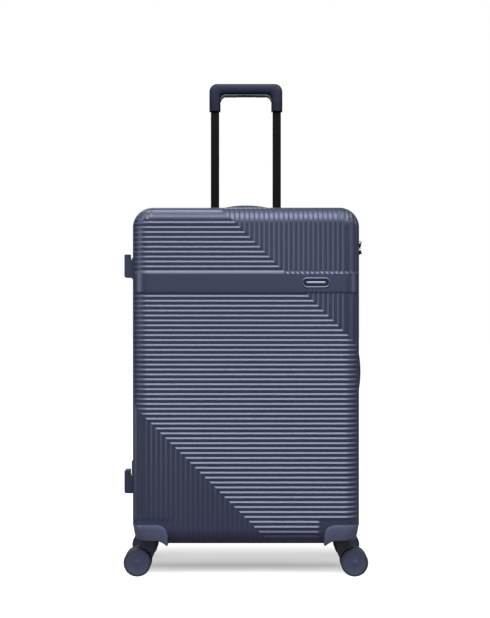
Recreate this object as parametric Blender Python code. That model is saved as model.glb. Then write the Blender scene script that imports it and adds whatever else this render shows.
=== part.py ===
"""Hard-shell upright suitcase on four swivelling twin wheels, with its telescopic handle raised.

World frame: +X to the right, +Y to the back, +Z up, metres, standing on z = 0.
The case opens like a book about its left side: a rear half that carries the telescopic handle,
the carry handles and the lock, and a front half that swings on the hinge side of the zip.
"""

import math

import bmesh
import bpy
from mathutils import Matrix, Vector

MM = 0.001
GAP = 0.3 * MM

# The two halves of the case.
HALF_WIDTH = 240 * MM
BOTTOM = 69.5 * MM
TOP = 781 * MM
FRONT_FACE = -147.2 * MM
REAR_FACE = 150 * MM
RIM_Y = 5 * MM
OUTLINE_RADIUS = 42 * MM
EDGE_RADIUS = 35 * MM
WALL = 2.2 * MM

# Raised band across the front, and the badge on it.
BAND_LOW = 599 * MM
BAND_HIGH = 645 * MM
BAND_FACE = -148.9 * MM
BAND_HALF_WIDTH = 204 * MM
BADGE_LEFT = 117 * MM
BADGE_RIGHT = 176.4 * MM
BADGE_CENTRE_Z = 621 * MM
BADGE_HEIGHT = 22 * MM
BADGE_THICKNESS = 0.8 * MM

# Wheel housings in the four lower corners.
HOUSING_INNER_X = 164 * MM
HOUSING_INNER_Y = 50 * MM
HOUSING_UNDERSIDE = 80 * MM
HOUSING_TOP = 113.4 * MM
HOUSING_WALL = 3 * MM
HOUSING_BEND = 92 * MM
HOUSING_FLOOR_REACH = (232.5 * MM, 143.5 * MM)
HOUSING_BEND_REACH = (236.5 * MM, 146.5 * MM)
HOUSING_TOP_REACH = (239 * MM, 149 * MM)
SKIRT_LOW = 69.5 * MM
SKIRT_THICKNESS = 7 * MM

# Casters.
STEM_X = 208 * MM
STEM_Y = 100 * MM
TRAIL = 22 * MM
WHEEL_RADIUS = 29 * MM
WHEEL_SIDES = 24
WHEEL_HALF_WIDTH = 22 * MM
WHEEL_INNER_FACE = 6.2 * MM
HUB_RADIUS = 24.5 * MM
AXLE_RADIUS = 4 * MM
STEM_RADIUS = 5 * MM

# Telescopic handle.
POLE_X = 71.4 * MM
POLE_WIDTH = 19.3 * MM
POLE_DEPTH = 11 * MM
HANDLE_Y = 120 * MM
POLE_LOW = 712 * MM
POLE_WALL = 1.3 * MM
GRIP_TOP = 1086 * MM
GRIP_WIDTH = 169 * MM
GRIP_DEPTH = 28 * MM
GRIP_BAR = 24.8 * MM
LEG_WIDTH = 25.8 * MM
LEG_BOTTOM = 1023 * MM
BEZEL_FLOOR = 731 * MM
BEZEL_HALF_WIDTH = 92 * MM
BEZEL_HALF_DEPTH = 20 * MM
BEZEL_WALL = 2.5 * MM
BEZEL_FLANGE_HALF_WIDTH = 97 * MM
BEZEL_FLANGE_YS = (96 * MM, 141.5 * MM)
BRACKET_HALF_WIDTH = 95 * MM
BRACKET_HALF_DEPTH = 11 * MM
BRACKET_TOP = 97 * MM
TUBE_LOW = 84.3 * MM
COVER_HALF_WIDTH = 45.5 * MM
BUTTON_HALF_WIDTH = 19.8 * MM
BUTTON_HALF_DEPTH = 7.3 * MM

# Carry handles: one on the top, one on the right side.
CARRY_RADIUS = 250 * MM
CARRY_RISE = 19.5 * MM
CARRY_THICKNESS = 6 * MM
CARRY_HALF_SPAN = 76 * MM
CARRY_Y = 52 * MM
SIDE_HANDLE_Z = 425 * MM

# Side feet, two on each half, on the left wall.
FOOT_REACH = 19.2 * MM
FOOT_HEIGHT = 49.5 * MM
FOOT_HALF_DEPTH = 15 * MM
FOOT_Y = 83 * MM
FOOT_LOWS = {"lower": 172.5 * MM, "upper": 633 * MM}

# Lock and zip sliders on the right side.
LOCK_LOW = 640 * MM
LOCK_HIGH = 722 * MM
LOCK_YS = (12 * MM, 42 * MM)
LOCK_PROUD = 9.5 * MM
DIAL_RADIUS = 5.5 * MM
DIAL_X = HALF_WIDTH + 6.4 * MM
DIAL_Y = 27 * MM
DIAL_LOWEST = 661 * MM
DIAL_PITCH = 8 * MM
LATCH_Z = 648.5 * MM
LATCH_HALF_DEPTH = 7 * MM
LATCH_HALF_HEIGHT = 3.9 * MM
SLIDER_ZS = {"lower": 692 * MM, "upper": 708 * MM}

SIDES = {"left": -1, "right": 1}


def plastic(name, colour, roughness, metallic=0.0):
    """A Principled material of one colour, or the one already made under that name."""
    found = bpy.data.materials.get(name)
    if found:
        return found
    made = bpy.data.materials.new(name)
    made.use_nodes = True
    shader = made.node_tree.nodes["Principled BSDF"]
    shader.inputs["Base Color"].default_value = (*colour, 1.0)
    shader.inputs["Roughness"].default_value = roughness
    shader.inputs["Metallic"].default_value = metallic
    return made


def shell_plastic():
    return plastic("shell_plastic", (0.075, 0.080, 0.115), 0.35)


def navy_plastic():
    return plastic("navy_plastic", (0.020, 0.026, 0.060), 0.40)


def black_plastic():
    return plastic("black_plastic", (0.012, 0.012, 0.014), 0.45)


def pole_metal():
    return plastic("pole_metal", (0.010, 0.010, 0.012), 0.30, 0.6)


def tyre_rubber():
    return plastic("tyre_rubber", (0.020, 0.020, 0.024), 0.70)


def hub_plastic():
    return plastic("hub_plastic", (0.060, 0.065, 0.100), 0.45)


def bright_metal():
    return plastic("bright_metal", (0.70, 0.70, 0.72), 0.25, 1.0)


def lining_fabric():
    return plastic("lining_fabric", (0.06, 0.06, 0.07), 0.90)


def tape_fabric():
    return plastic("tape_fabric", (0.012, 0.013, 0.020), 0.85)


def mesh_of(points, faces):
    """A closed mesh with its faces turned outwards."""
    mesh = bpy.data.meshes.new("solid")
    mesh.from_pydata([tuple(p) for p in points], [], faces)
    work = bmesh.new()
    work.from_mesh(mesh)
    bmesh.ops.recalc_face_normals(work, faces=work.faces)
    work.to_mesh(mesh)
    work.free()
    return mesh


def loft(rings):
    """A closed solid through rings of equally many points, with both end rings filled."""
    count = len(rings[0])
    points = [p for ring in rings for p in ring]
    faces = [list(range(count)), list(range(len(points) - count, len(points)))]
    for level in range(len(rings) - 1):
        base = level * count
        for i in range(count):
            after = (i + 1) % count
            faces.append([base + i, base + after, base + count + after, base + count + i])
    return mesh_of(points, faces)


def along(axis, u, v, w):
    """The point at (u, v) in the section and at w along the axis X, Y or Z."""
    return {"X": (w, u, v), "Y": (u, w, v), "Z": (u, v, w)}[axis]


def prism(outline, axis, low, high):
    """An outline carried straight along an axis."""
    return loft([[along(axis, u, v, w) for u, v in outline] for w in (low, high)])


def tube(outer, inner, axis, low, high):
    """A straight tube between two outlines of equally many points, open at both ends."""
    rings = [(outer, low), (outer, high), (inner, high), (inner, low)]
    count = len(outer)
    points = [along(axis, u, v, w) for ring, w in rings for u, v in ring]
    faces = []
    for level in range(4):
        base = level * count
        other = (level + 1) % 4 * count
        for i in range(count):
            after = (i + 1) % count
            faces.append([base + i, base + after, other + after, other + i])
    return mesh_of(points, faces)


def box(low, high):
    outline = [(low[0], low[1]), (high[0], low[1]), (high[0], high[1]), (low[0], high[1])]
    return prism(outline, "Z", low[2], high[2])


def arc(centre, radius, start, end, steps):
    """Points on an arc from the start to the end angle in degrees, both included."""
    angles = [math.radians(start + (end - start) * i / steps) for i in range(steps + 1)]
    return [(centre[0] + radius * math.cos(a), centre[1] + radius * math.sin(a)) for a in angles]


def rounded_rectangle(low, high, radius, steps=4):
    """A rectangle from low to high with its four corners rounded."""
    corners = [
        ((high[0] - radius, high[1] - radius), 0),
        ((low[0] + radius, high[1] - radius), 90),
        ((low[0] + radius, low[1] + radius), 180),
        ((high[0] - radius, low[1] + radius), 270),
    ]
    return [p for centre, start in corners for p in arc(centre, radius, start, start + 90, steps)]


def circle(centre, radius, sides, phase=0.0):
    turns = [2 * math.pi * (i + phase) / sides for i in range(sides)]
    return [(centre[0] + radius * math.cos(t), centre[1] + radius * math.sin(t)) for t in turns]


def turned(profile, centre, axis, sides):
    """A profile of (radius, place along the axis) turned about an axis, with a flat facet down.
    The radii are those of the flats. Radii of zero at both ends close the solid."""
    stretch = 1 / math.cos(math.pi / sides)
    rings = []
    for radius, place in profile:
        section = circle((0, 0), max(radius, 1e-6) * stretch, sides, 0.5)
        rings.append([Vector(centre) + Vector(along(axis, u, v, place)) for u, v in section])
    return rings


def turned_solid(profile, centre, axis, sides):
    return loft(turned(profile, centre, axis, sides))


def turned_ring(profile, centre, axis, sides):
    """A ring: the closed profile turned about the axis, clear of the axis."""
    rings = turned(profile, centre, axis, sides)
    count = sides
    points = [p for ring in rings for p in ring]
    faces = []
    for level in range(len(rings)):
        base = level * count
        other = (level + 1) % len(rings) * count
        for i in range(count):
            after = (i + 1) % count
            faces.append([base + i, base + after, other + after, other + i])
    return mesh_of(points, faces)


def combined(base, operations):
    """The base mesh after Booleans, each an operation and the mesh it takes."""
    scene = bpy.context.scene.collection
    target = bpy.data.objects.new("working_solid", base)
    scene.objects.link(target)
    tools = []
    for operation, mesh in operations:
        tool = bpy.data.objects.new("working_tool", mesh)
        scene.objects.link(tool)
        modifier = target.modifiers.new(operation.lower(), "BOOLEAN")
        modifier.operation = operation
        modifier.solver = "EXACT"
        modifier.object = tool
        tools.append(tool)
    graph = bpy.context.evaluated_depsgraph_get()
    result = bpy.data.meshes.new_from_object(target.evaluated_get(graph))
    for used in [target, *tools]:
        bpy.data.objects.remove(used)
    return result


def place(name, mesh, material, parent=None, smooth=30):
    """A named part. Its mesh is in world coordinates, and its origin goes to its parent's place."""
    mesh.name = name
    mesh.materials.clear()
    mesh.materials.append(material)
    mesh.shade_smooth()
    mesh.set_sharp_from_angle(angle=math.radians(smooth))
    part = bpy.data.objects.new(name, mesh)
    bpy.context.scene.collection.objects.link(part)
    if parent:
        mesh.transform(Matrix.Translation(-world_place(parent)))
        part.parent = parent
    return part


def world_place(pivot):
    """Where an unturned pivot is, through all of its parents."""
    if pivot is None:
        return Vector((0, 0, 0))
    return pivot.location + world_place(pivot.parent)


def pivot(name, at, parent=None):
    """An empty on a joint's axis."""
    made = bpy.data.objects.new(name, None)
    made.location = Vector(at) - world_place(parent)
    made.parent = parent
    bpy.context.scene.collection.objects.link(made)
    return made


def case_ring(y, inset):
    """The case's outline at depth y, drawn in all round by the inset."""
    low = (-HALF_WIDTH + inset, BOTTOM + inset)
    high = (HALF_WIDTH - inset, TOP - inset)
    outline = rounded_rectangle(low, high, OUTLINE_RADIUS - inset, 5)
    return [(x, y, z) for x, z in outline]


def case_rings(rim, face, inset, steps=4):
    """Outlines from the face to the rim of a half, around its rounded front or back edge."""
    toward_rim = 1 if rim > face else -1
    radius = EDGE_RADIUS - inset
    rings = []
    for i in range(steps + 1):
        angle = math.pi / 2 * i / steps
        depth = face + toward_rim * radius * (1 - math.sin(math.pi / 2 - angle))
        rings.append(case_ring(depth, inset + radius * (1 - math.sin(angle))))
    rings.append(case_ring(rim, inset))
    return rings


def tray(rim, face, inset, wall):
    """An open tray: outside drawn in by the inset, and a wall of one thickness."""
    toward_rim = 1 if rim > face else -1
    outside = case_rings(rim, face + toward_rim * inset, inset)
    inside = case_rings(rim, face + toward_rim * (inset + wall), inset + wall)
    return loft([*outside, *reversed(inside)])


def corner_box(side, half, inset, low, high):
    """A box over a lower corner, from its inner edges outwards. The inset makes it larger."""
    xs = sorted((side * (HOUSING_INNER_X - inset), side * (HALF_WIDTH + 50 * MM)))
    ys = sorted((half * (HOUSING_INNER_Y - inset), half * (REAR_FACE + 50 * MM)))
    return box((xs[0], ys[0], low), (xs[1], ys[1], high))


def front_shell(material, parent):
    """Front half: a thin tray with a raised band, and its lower corners cut out for the wheels."""
    band = box((-BAND_HALF_WIDTH, BAND_FACE, BAND_LOW), (BAND_HALF_WIDTH, FRONT_FACE + WALL / 2, BAND_HIGH))
    operations = [("UNION", band)]
    for side in SIDES.values():
        notch = corner_box(side, -1, GAP, BOTTOM - 20 * MM, HOUSING_TOP + GAP)
        operations.append(("DIFFERENCE", notch))
    mesh = combined(tray(-RIM_Y, FRONT_FACE, 0, WALL), operations)
    return place("front_shell", mesh, material, parent)


def rear_shell(material):
    """Rear half: the same tray, with openings for the telescopic handle and the carry handles."""
    operations = []
    for side in SIDES.values():
        notch = corner_box(side, 1, GAP, BOTTOM - 20 * MM, HOUSING_TOP + GAP)
        operations.append(("DIFFERENCE", notch))
        lug = side * (CARRY_HALF_SPAN - 5 * MM)
        top_slot = box(
            (lug - 6 * MM, CARRY_Y - 8 * MM, TOP - 10 * MM),
            (lug + 6 * MM, CARRY_Y + 8 * MM, TOP + 10 * MM),
        )
        side_slot = box(
            (HALF_WIDTH - 10 * MM, CARRY_Y - 8 * MM, SIDE_HANDLE_Z + lug - 6 * MM),
            (HALF_WIDTH + 10 * MM, CARRY_Y + 8 * MM, SIDE_HANDLE_Z + lug + 6 * MM),
        )
        operations.append(("DIFFERENCE", top_slot))
        operations.append(("DIFFERENCE", side_slot))
    opening = bezel_box(GAP, BEZEL_FLOOR - 10 * MM, TOP + 20 * MM)
    operations.append(("DIFFERENCE", opening))
    mesh = combined(tray(RIM_Y, REAR_FACE, 0, WALL), operations)
    return place("rear_shell", mesh, material)


def lining(name, half, depth, material, parent=None):
    """Fabric lining: a thin tray inside a half, drawn over the two wheel housings."""
    side_room = 20 * MM
    skin = 1.2 * MM
    rim = half * (RIM_Y + 3 * MM)

    def solid(inset, low):
        outline = rounded_rectangle(
            (-HALF_WIDTH + side_room + inset, BOTTOM + 16 * MM + inset),
            (HALF_WIDTH - side_room - inset, TOP - 23 * MM - inset),
            24 * MM - inset,
            3,
        )
        ys = sorted((low, half * (depth - inset)))
        operations = []
        for side in SIDES.values():
            room = 2 * MM + inset
            corner = corner_box(side, half, room, BOTTOM - 20 * MM, HOUSING_TOP + room)
            operations.append(("DIFFERENCE", corner))
        return combined(prism(outline, "Y", *ys), operations)

    mesh = combined(solid(0, rim), [("DIFFERENCE", solid(skin, rim - half * 10 * MM))])
    return place(name, mesh, material, parent)


def zip_tape(name, half, material, parent=None):
    """Half of the zip's tape, sewn along the rim of its shell."""
    ys = sorted((half * GAP, half * (RIM_Y - GAP)))
    outer = [(x, z) for x, _, z in case_ring(0, 1.5 * MM)]
    inner = [(x, z) for x, _, z in case_ring(0, 4.5 * MM)]
    return place(name, tube(outer, inner, "Y", *ys), material, parent)


def badge_plate(material, parent):
    """Small blank oval-ended plate on the raised band."""
    half_height = BADGE_HEIGHT / 2
    outline = rounded_rectangle(
        (BADGE_LEFT, BADGE_CENTRE_Z - half_height),
        (BADGE_RIGHT, BADGE_CENTRE_Z + half_height),
        8 * MM,
        5,
    )
    back = BAND_FACE - GAP
    return place("badge_plate", prism(outline, "Y", back - BADGE_THICKNESS, back), material, parent)


def housing_ring(side, half, z, reach, radius, inset):
    """A wheel housing's outline at height z: square inside the case, rounded at its outer corner."""
    near = (HOUSING_INNER_X + inset, HOUSING_INNER_Y + inset)
    far = (reach[0] - inset, reach[1] - inset)
    bend = arc((far[0] - radius, far[1] - radius), radius, 0, 90, 5)
    outline = [near, (far[0], near[1]), *bend, (near[0], far[1])]
    return [(side * x, half * y, z) for x, y in outline]


def wheel_housing(name, side, half, material, parent=None):
    """Corner moulding that holds a caster: a tray with a boss for the caster's stem."""
    def levels(inset, floor, top):
        return [
            housing_ring(side, half, floor, HOUSING_FLOOR_REACH, 28 * MM - inset, inset),
            housing_ring(side, half, HOUSING_BEND, HOUSING_BEND_REACH, 29 * MM - inset, inset),
            housing_ring(side, half, top, HOUSING_TOP_REACH, 30 * MM - inset, inset),
        ]

    body = loft(levels(0, HOUSING_UNDERSIDE, HOUSING_TOP))
    floor = HOUSING_UNDERSIDE + HOUSING_WALL
    hollow = loft(levels(HOUSING_WALL, floor, HOUSING_TOP + 10 * MM))
    stem = (side * STEM_X, half * STEM_Y)
    boss = prism(circle(stem, 12 * MM, 12), "Z", HOUSING_UNDERSIDE + 1 * MM, 108 * MM)
    hole = circle(stem, STEM_RADIUS + 0.4 * MM, 12)
    bearing = prism(hole, "Z", HOUSING_UNDERSIDE - 10 * MM, 102 * MM)
    xs = sorted((side * HOUSING_INNER_X, side * (HOUSING_INNER_X + SKIRT_THICKNESS)))
    ys = sorted((half * 56 * MM, half * 134 * MM))
    skirt = box((xs[0], ys[0], SKIRT_LOW), (xs[1], ys[1], HOUSING_UNDERSIDE + 1 * MM))
    operations = [
        ("DIFFERENCE", hollow),
        ("UNION", boss),
        ("DIFFERENCE", bearing),
        ("UNION", skirt),
    ]
    return place(name, combined(body, operations), material, parent)


def side_foot(name, half, low, material, parent=None):
    """Foot block that the case lies on, with a slot behind its upper end and a chamfered toe."""
    wall = -HALF_WIDTH - GAP
    steps = [
        (0, 0),
        (12 * MM, 0),
        (FOOT_REACH, 8 * MM),
        *[(u, v) for u, v in arc((FOOT_REACH - 3 * MM, FOOT_HEIGHT - 3 * MM), 3 * MM, 0, 90, 3)],
        (5 * MM, FOOT_HEIGHT),
        (5 * MM, FOOT_HEIGHT - 11 * MM),
        (0, FOOT_HEIGHT - 11 * MM),
    ]
    outline = [(wall - u, low + v) for u, v in steps]
    middle = half * FOOT_Y
    mesh = prism(outline, "Y", middle - FOOT_HALF_DEPTH, middle + FOOT_HALF_DEPTH)
    return place(name, mesh, material, parent)


def carry_arc():
    """Side view of a carry handle: a shallow bow with a lug and a foot at each end, about its middle.
    Heights are above the wall that it stands on."""
    centre = (0, CARRY_RISE - CARRY_RADIUS)
    spread = math.degrees(math.asin(CARRY_HALF_SPAN / CARRY_RADIUS))
    upper = arc(centre, CARRY_RADIUS, 90 - spread, 90 + spread, 12)
    inner_radius = CARRY_RADIUS - CARRY_THICKNESS
    inner_spread = math.degrees(math.asin((CARRY_HALF_SPAN - 10 * MM) / inner_radius))
    lower = arc(centre, inner_radius, 90 + inner_spread, 90 - inner_spread, 12)
    end = CARRY_HALF_SPAN
    lug_low = -15.5 * MM
    foot_low = -18.5 * MM
    left = [
        (-end, lug_low),
        (-end - 6 * MM, lug_low),
        (-end - 6 * MM, foot_low),
        (-end + 10 * MM, foot_low),
    ]
    right = [(-u, v) for u, v in reversed(left)]
    return [*upper, *left, *lower, *right]


def top_carry_handle(material, parent):
    outline = [(u, TOP + v) for u, v in carry_arc()]
    mesh = prism(outline, "Y", CARRY_Y - 7 * MM, CARRY_Y + 7 * MM)
    return place("top_carry_handle", mesh, material, parent)


def side_carry_handle(material, parent):
    outline = [(HALF_WIDTH + v, SIDE_HANDLE_Z + u) for u, v in carry_arc()]
    mesh = prism(outline, "Y", CARRY_Y - 7 * MM, CARRY_Y + 7 * MM)
    return place("side_carry_handle", mesh, material, parent)


def handle_mount(name, on_top, end, material):
    """Collar around the lug of a carry handle, on the wall that the handle slides through."""
    middle = end * (CARRY_HALF_SPAN - 5 * MM)
    low = middle - 13 * MM
    high = middle + 13 * MM
    outer = rounded_rectangle((low, CARRY_Y - 14 * MM), (high, CARRY_Y + 14 * MM), 5 * MM, 2)
    hole_low = (middle - 5.7 * MM, CARRY_Y - 7.7 * MM)
    hole_high = (middle + 5.7 * MM, CARRY_Y + 7.7 * MM)
    inner = rounded_rectangle(hole_low, hole_high, 0.3 * MM, 2)
    height = 3.2 * MM
    if on_top:
        mesh = tube(outer, inner, "Z", TOP + GAP, TOP + height)
    else:
        outer = [(v, SIDE_HANDLE_Z + u) for u, v in outer]
        inner = [(v, SIDE_HANDLE_Z + u) for u, v in inner]
        mesh = tube(outer, inner, "X", HALF_WIDTH + GAP, HALF_WIDTH + height)
    return place(name, mesh, material)


def bezel_box(grow, low, high):
    """The bezel's box between two heights, made larger all round."""
    reach_x = BEZEL_HALF_WIDTH + grow
    reach_y = BEZEL_HALF_DEPTH + grow
    return box((-reach_x, HANDLE_Y - reach_y, low), (reach_x, HANDLE_Y + reach_y, high))


def trolley_bezel(material):
    """Recess in the top of the rear half that the grip sinks into, with a hole for each pole."""
    flange = box(
        (-BEZEL_FLANGE_HALF_WIDTH, BEZEL_FLANGE_YS[0], TOP + GAP),
        (BEZEL_FLANGE_HALF_WIDTH, BEZEL_FLANGE_YS[1], TOP + 2.2 * MM),
    )
    trough = bezel_box(0, BEZEL_FLOOR, TOP + 1 * MM)
    hollow = bezel_box(-BEZEL_WALL, BEZEL_FLOOR + 4 * MM, TOP + 20 * MM)
    operations = [("UNION", flange), ("DIFFERENCE", hollow)]
    for side in SIDES.values():
        operations.append(("DIFFERENCE", pole_hole(side, BEZEL_FLOOR - 10 * MM, BEZEL_FLOOR + 10 * MM)))
    return place("trolley_bezel", combined(trough, operations), material)


def pole_section(side, width, depth, radius):
    centre = side * POLE_X
    low = (centre - width / 2, HANDLE_Y - depth / 2)
    high = (centre + width / 2, HANDLE_Y + depth / 2)
    return rounded_rectangle(low, high, radius, 3)


def pole_hole(side, low, high):
    section = pole_section(side, POLE_WIDTH + 0.8 * MM, POLE_DEPTH + 0.8 * MM, 3 * MM)
    return prism(section, "Z", low, high)


def outer_tube(name, side, material):
    """Fixed tube inside the rear half that its pole slides in."""
    outer = pole_section(side, POLE_WIDTH + 4 * MM, POLE_DEPTH + 4 * MM, 4.4 * MM)
    inner = pole_section(side, POLE_WIDTH + 0.8 * MM, POLE_DEPTH + 0.8 * MM, 3 * MM)
    return place(name, tube(outer, inner, "Z", TUBE_LOW, BEZEL_FLOOR - GAP), material)


def trolley_bottom_bracket(material):
    """Bar on the floor of the rear half that both outer tubes stand in."""
    bar = box(
        (-BRACKET_HALF_WIDTH, HANDLE_Y - BRACKET_HALF_DEPTH, BOTTOM + 10 * MM),
        (BRACKET_HALF_WIDTH, HANDLE_Y + BRACKET_HALF_DEPTH, BRACKET_TOP),
    )
    operations = []
    for side in SIDES.values():
        section = pole_section(side, POLE_WIDTH + 4.8 * MM, POLE_DEPTH + 4.8 * MM, 4.4 * MM)
        socket = prism(section, "Z", TUBE_LOW - GAP, BRACKET_TOP + 10 * MM)
        operations.append(("DIFFERENCE", socket))
    return place("trolley_bottom_bracket", combined(bar, operations), material)


def pole(name, side, material, parent):
    """Telescopic pole: a flat tube that ends in the grip's leg."""
    outer = pole_section(side, POLE_WIDTH, POLE_DEPTH, 3 * MM)
    inner = pole_section(side, POLE_WIDTH - 2 * POLE_WALL, POLE_DEPTH - 2 * POLE_WALL, 1.8 * MM)
    return place(name, tube(outer, inner, "Z", POLE_LOW, LEG_BOTTOM + 16 * MM), material, parent)


def pole_end_plug(name, side, material, parent):
    """Guide block in the lower end of a pole."""
    thinner = 2 * POLE_WALL + 0.6 * MM
    section = pole_section(side, POLE_WIDTH - thinner, POLE_DEPTH - thinner, 1.5 * MM)
    head = pole_section(side, POLE_WIDTH, POLE_DEPTH, 3 * MM)
    stub = prism(section, "Z", POLE_LOW - 1 * MM, POLE_LOW + 20 * MM)
    mesh = combined(stub, [("UNION", prism(head, "Z", POLE_LOW - 6 * MM, POLE_LOW - GAP))])
    return place(name, mesh, material, parent)


def grip(material, parent):
    """Grip of the telescopic handle: a bar with two short legs, rounded at the corners."""
    half = GRIP_WIDTH / 2
    inner_half = half - LEG_WIDTH
    under = GRIP_TOP - GRIP_BAR
    outside = [
        (half, LEG_BOTTOM),
        *arc((half - 18 * MM, GRIP_TOP - 18 * MM), 18 * MM, 0, 90, 6),
        *arc((-half + 18 * MM, GRIP_TOP - 18 * MM), 18 * MM, 90, 180, 6),
        (-half, LEG_BOTTOM),
    ]
    inside = [
        (-inner_half, LEG_BOTTOM),
        *arc((-inner_half + 13 * MM, under - 13 * MM), 13 * MM, 180, 90, 5),
        *arc((inner_half - 13 * MM, under - 13 * MM), 13 * MM, 90, 0, 5),
        (inner_half, LEG_BOTTOM),
    ]
    body = prism([*outside, *inside], "Y", HANDLE_Y - GRIP_DEPTH / 2, HANDLE_Y + GRIP_DEPTH / 2)
    pocket = box(
        (-BUTTON_HALF_WIDTH - 1.2 * MM, HANDLE_Y - BUTTON_HALF_DEPTH - 1.2 * MM, under - 10 * MM),
        (BUTTON_HALF_WIDTH + 1.2 * MM, HANDLE_Y + BUTTON_HALF_DEPTH + 1.2 * MM, under + 7 * MM),
    )
    operations = [("DIFFERENCE", pocket)]
    for side in SIDES.values():
        section = pole_section(side, POLE_WIDTH + 0.6 * MM, POLE_DEPTH + 0.6 * MM, 3.2 * MM)
        socket = prism(section, "Z", LEG_BOTTOM - 10 * MM, LEG_BOTTOM + 17 * MM)
        operations.append(("DIFFERENCE", socket))
    return place("grip", combined(body, operations), material, parent)


def grip_underside(material, parent):
    """Cover plate under the grip's bar, with a hole for the release button."""
    top = GRIP_TOP - GRIP_BAR - GAP
    low = (-COVER_HALF_WIDTH, HANDLE_Y - 11.5 * MM)
    high = (COVER_HALF_WIDTH, HANDLE_Y + 11.5 * MM)
    outer = rounded_rectangle(low, high, 4 * MM, 3)
    reach_x = BUTTON_HALF_WIDTH + 0.7 * MM
    reach_y = BUTTON_HALF_DEPTH + 0.7 * MM
    inner = rounded_rectangle((-reach_x, HANDLE_Y - reach_y), (reach_x, HANDLE_Y + reach_y), 3 * MM, 3)
    return place("grip_underside", tube(outer, inner, "Z", top - 2.2 * MM, top), material, parent)


def release_button(material, parent):
    """Push button under the grip that frees the poles."""
    low = (-BUTTON_HALF_WIDTH, HANDLE_Y - BUTTON_HALF_DEPTH)
    high = (BUTTON_HALF_WIDTH, HANDLE_Y + BUTTON_HALF_DEPTH)
    bottom = GRIP_TOP - GRIP_BAR - 4.3 * MM
    mesh = prism(rounded_rectangle(low, high, 2.6 * MM, 3), "Z", bottom, bottom + 7.5 * MM)
    return place("release_button", mesh, material, parent)


def latch_box(low, high, grow):
    """The latch button's box between two depths, made larger all round."""
    reach_y = LATCH_HALF_DEPTH + grow
    reach_z = LATCH_HALF_HEIGHT + grow
    return box((low, DIAL_Y - reach_y, LATCH_Z - reach_z), (high, DIAL_Y + reach_y, LATCH_Z + reach_z))


def lock_housing(material):
    """Body of the combination lock on the right wall of the rear half, with slots for its dials."""
    outline = rounded_rectangle((LOCK_YS[0], LOCK_LOW), (LOCK_YS[1], LOCK_HIGH), 5 * MM, 3)
    body = prism(outline, "X", HALF_WIDTH + GAP, HALF_WIDTH + LOCK_PROUD)
    operations = []
    for centre in dial_centres():
        slot = box(
            (centre[0] - DIAL_RADIUS - 1 * MM, centre[1] - DIAL_RADIUS - 0.7 * MM, centre[2] - 2.9 * MM),
            (HALF_WIDTH + 20 * MM, centre[1] + DIAL_RADIUS + 0.7 * MM, centre[2] + 2.9 * MM),
        )
        operations.append(("DIFFERENCE", slot))
    pocket = latch_box(HALF_WIDTH + 4 * MM, HALF_WIDTH + 20 * MM, 0.4 * MM)
    operations.append(("DIFFERENCE", pocket))
    return place("lock_housing", combined(body, operations), material)


def dial_centres():
    """Middle of each dial of the lock, from the lowest up. They turn about an upright axis."""
    return [(DIAL_X, DIAL_Y, DIAL_LOWEST + DIAL_PITCH * i) for i in range(3)]


def lock_dial(name, centre, material, parent):
    profile = [(0, -2.4 * MM), (DIAL_RADIUS, -2.4 * MM), (DIAL_RADIUS, 2.4 * MM), (0, 2.4 * MM)]
    return place(name, turned_solid(profile, centre, "Z", 10), material, parent)


def lock_button(material, parent):
    mesh = latch_box(DIAL_X, HALF_WIDTH + 12 * MM, 0)
    return place("lock_button", mesh, material, parent)


def zip_slider(name, z, material, parent):
    """Zip slider on the outside of the tape, with a bail for its pull."""
    wall = HALF_WIDTH
    body = box((wall - 1.2 * MM, -4.5 * MM, z - 5.5 * MM), (wall + 5 * MM, 4.5 * MM, z + 5.5 * MM))
    bail = box((wall + 4 * MM, -2 * MM, z - 4 * MM), (wall + 8 * MM, 2 * MM, z + 4 * MM))
    return place(name, combined(body, [("UNION", bail)]), material, parent)


def zip_pull(name, z, material, parent):
    """Pull tab of a zip slider, parked with its tip over the lock."""
    x = HALF_WIDTH + 10.2 * MM
    ring = box((x, -3 * MM, z - 6 * MM), (x + 5.5 * MM, 6 * MM, z + 6 * MM))
    tab = box((x + 2.6 * MM, 5 * MM, z - 4.5 * MM), (x + 5.5 * MM, 30 * MM, z + 4.5 * MM))
    return place(name, combined(ring, [("UNION", tab)]), material, parent)


def caster_fork(name, stem, lean, material, parent):
    """Swivelling fork: a stem, a round plate under the housing, and one leg between the wheels."""
    x, y = stem
    stem_pin = prism(circle(stem, STEM_RADIUS, 12), "Z", 74 * MM, 100 * MM)
    plate = prism(circle(stem, 16 * MM, 16), "Z", 73 * MM, HOUSING_UNDERSIDE - GAP)
    hub = (TRAIL, WHEEL_RADIUS)
    outline = [
        (14 * MM, 75 * MM),
        (-12 * MM, 75 * MM),
        (-9 * MM, 58 * MM),
        *arc(hub, 9 * MM, 215, 380, 6),
        (24 * MM, 52 * MM),
        (18 * MM, 60 * MM),
    ]
    leg_outline = [(x + lean * u, v) for u, v in outline]
    half_leg = WHEEL_INNER_FACE - 1 * MM
    leg = prism(leg_outline, "Y", y - half_leg, y + half_leg)
    hub_x = x + lean * TRAIL
    hole = circle((hub_x, WHEEL_RADIUS), AXLE_RADIUS + 0.5 * MM, 16)
    bore = prism(hole, "Y", y - 20 * MM, y + 20 * MM)
    operations = [("UNION", stem_pin), ("UNION", leg), ("DIFFERENCE", bore)]
    return place(name, combined(plate, operations), material, parent)


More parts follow.
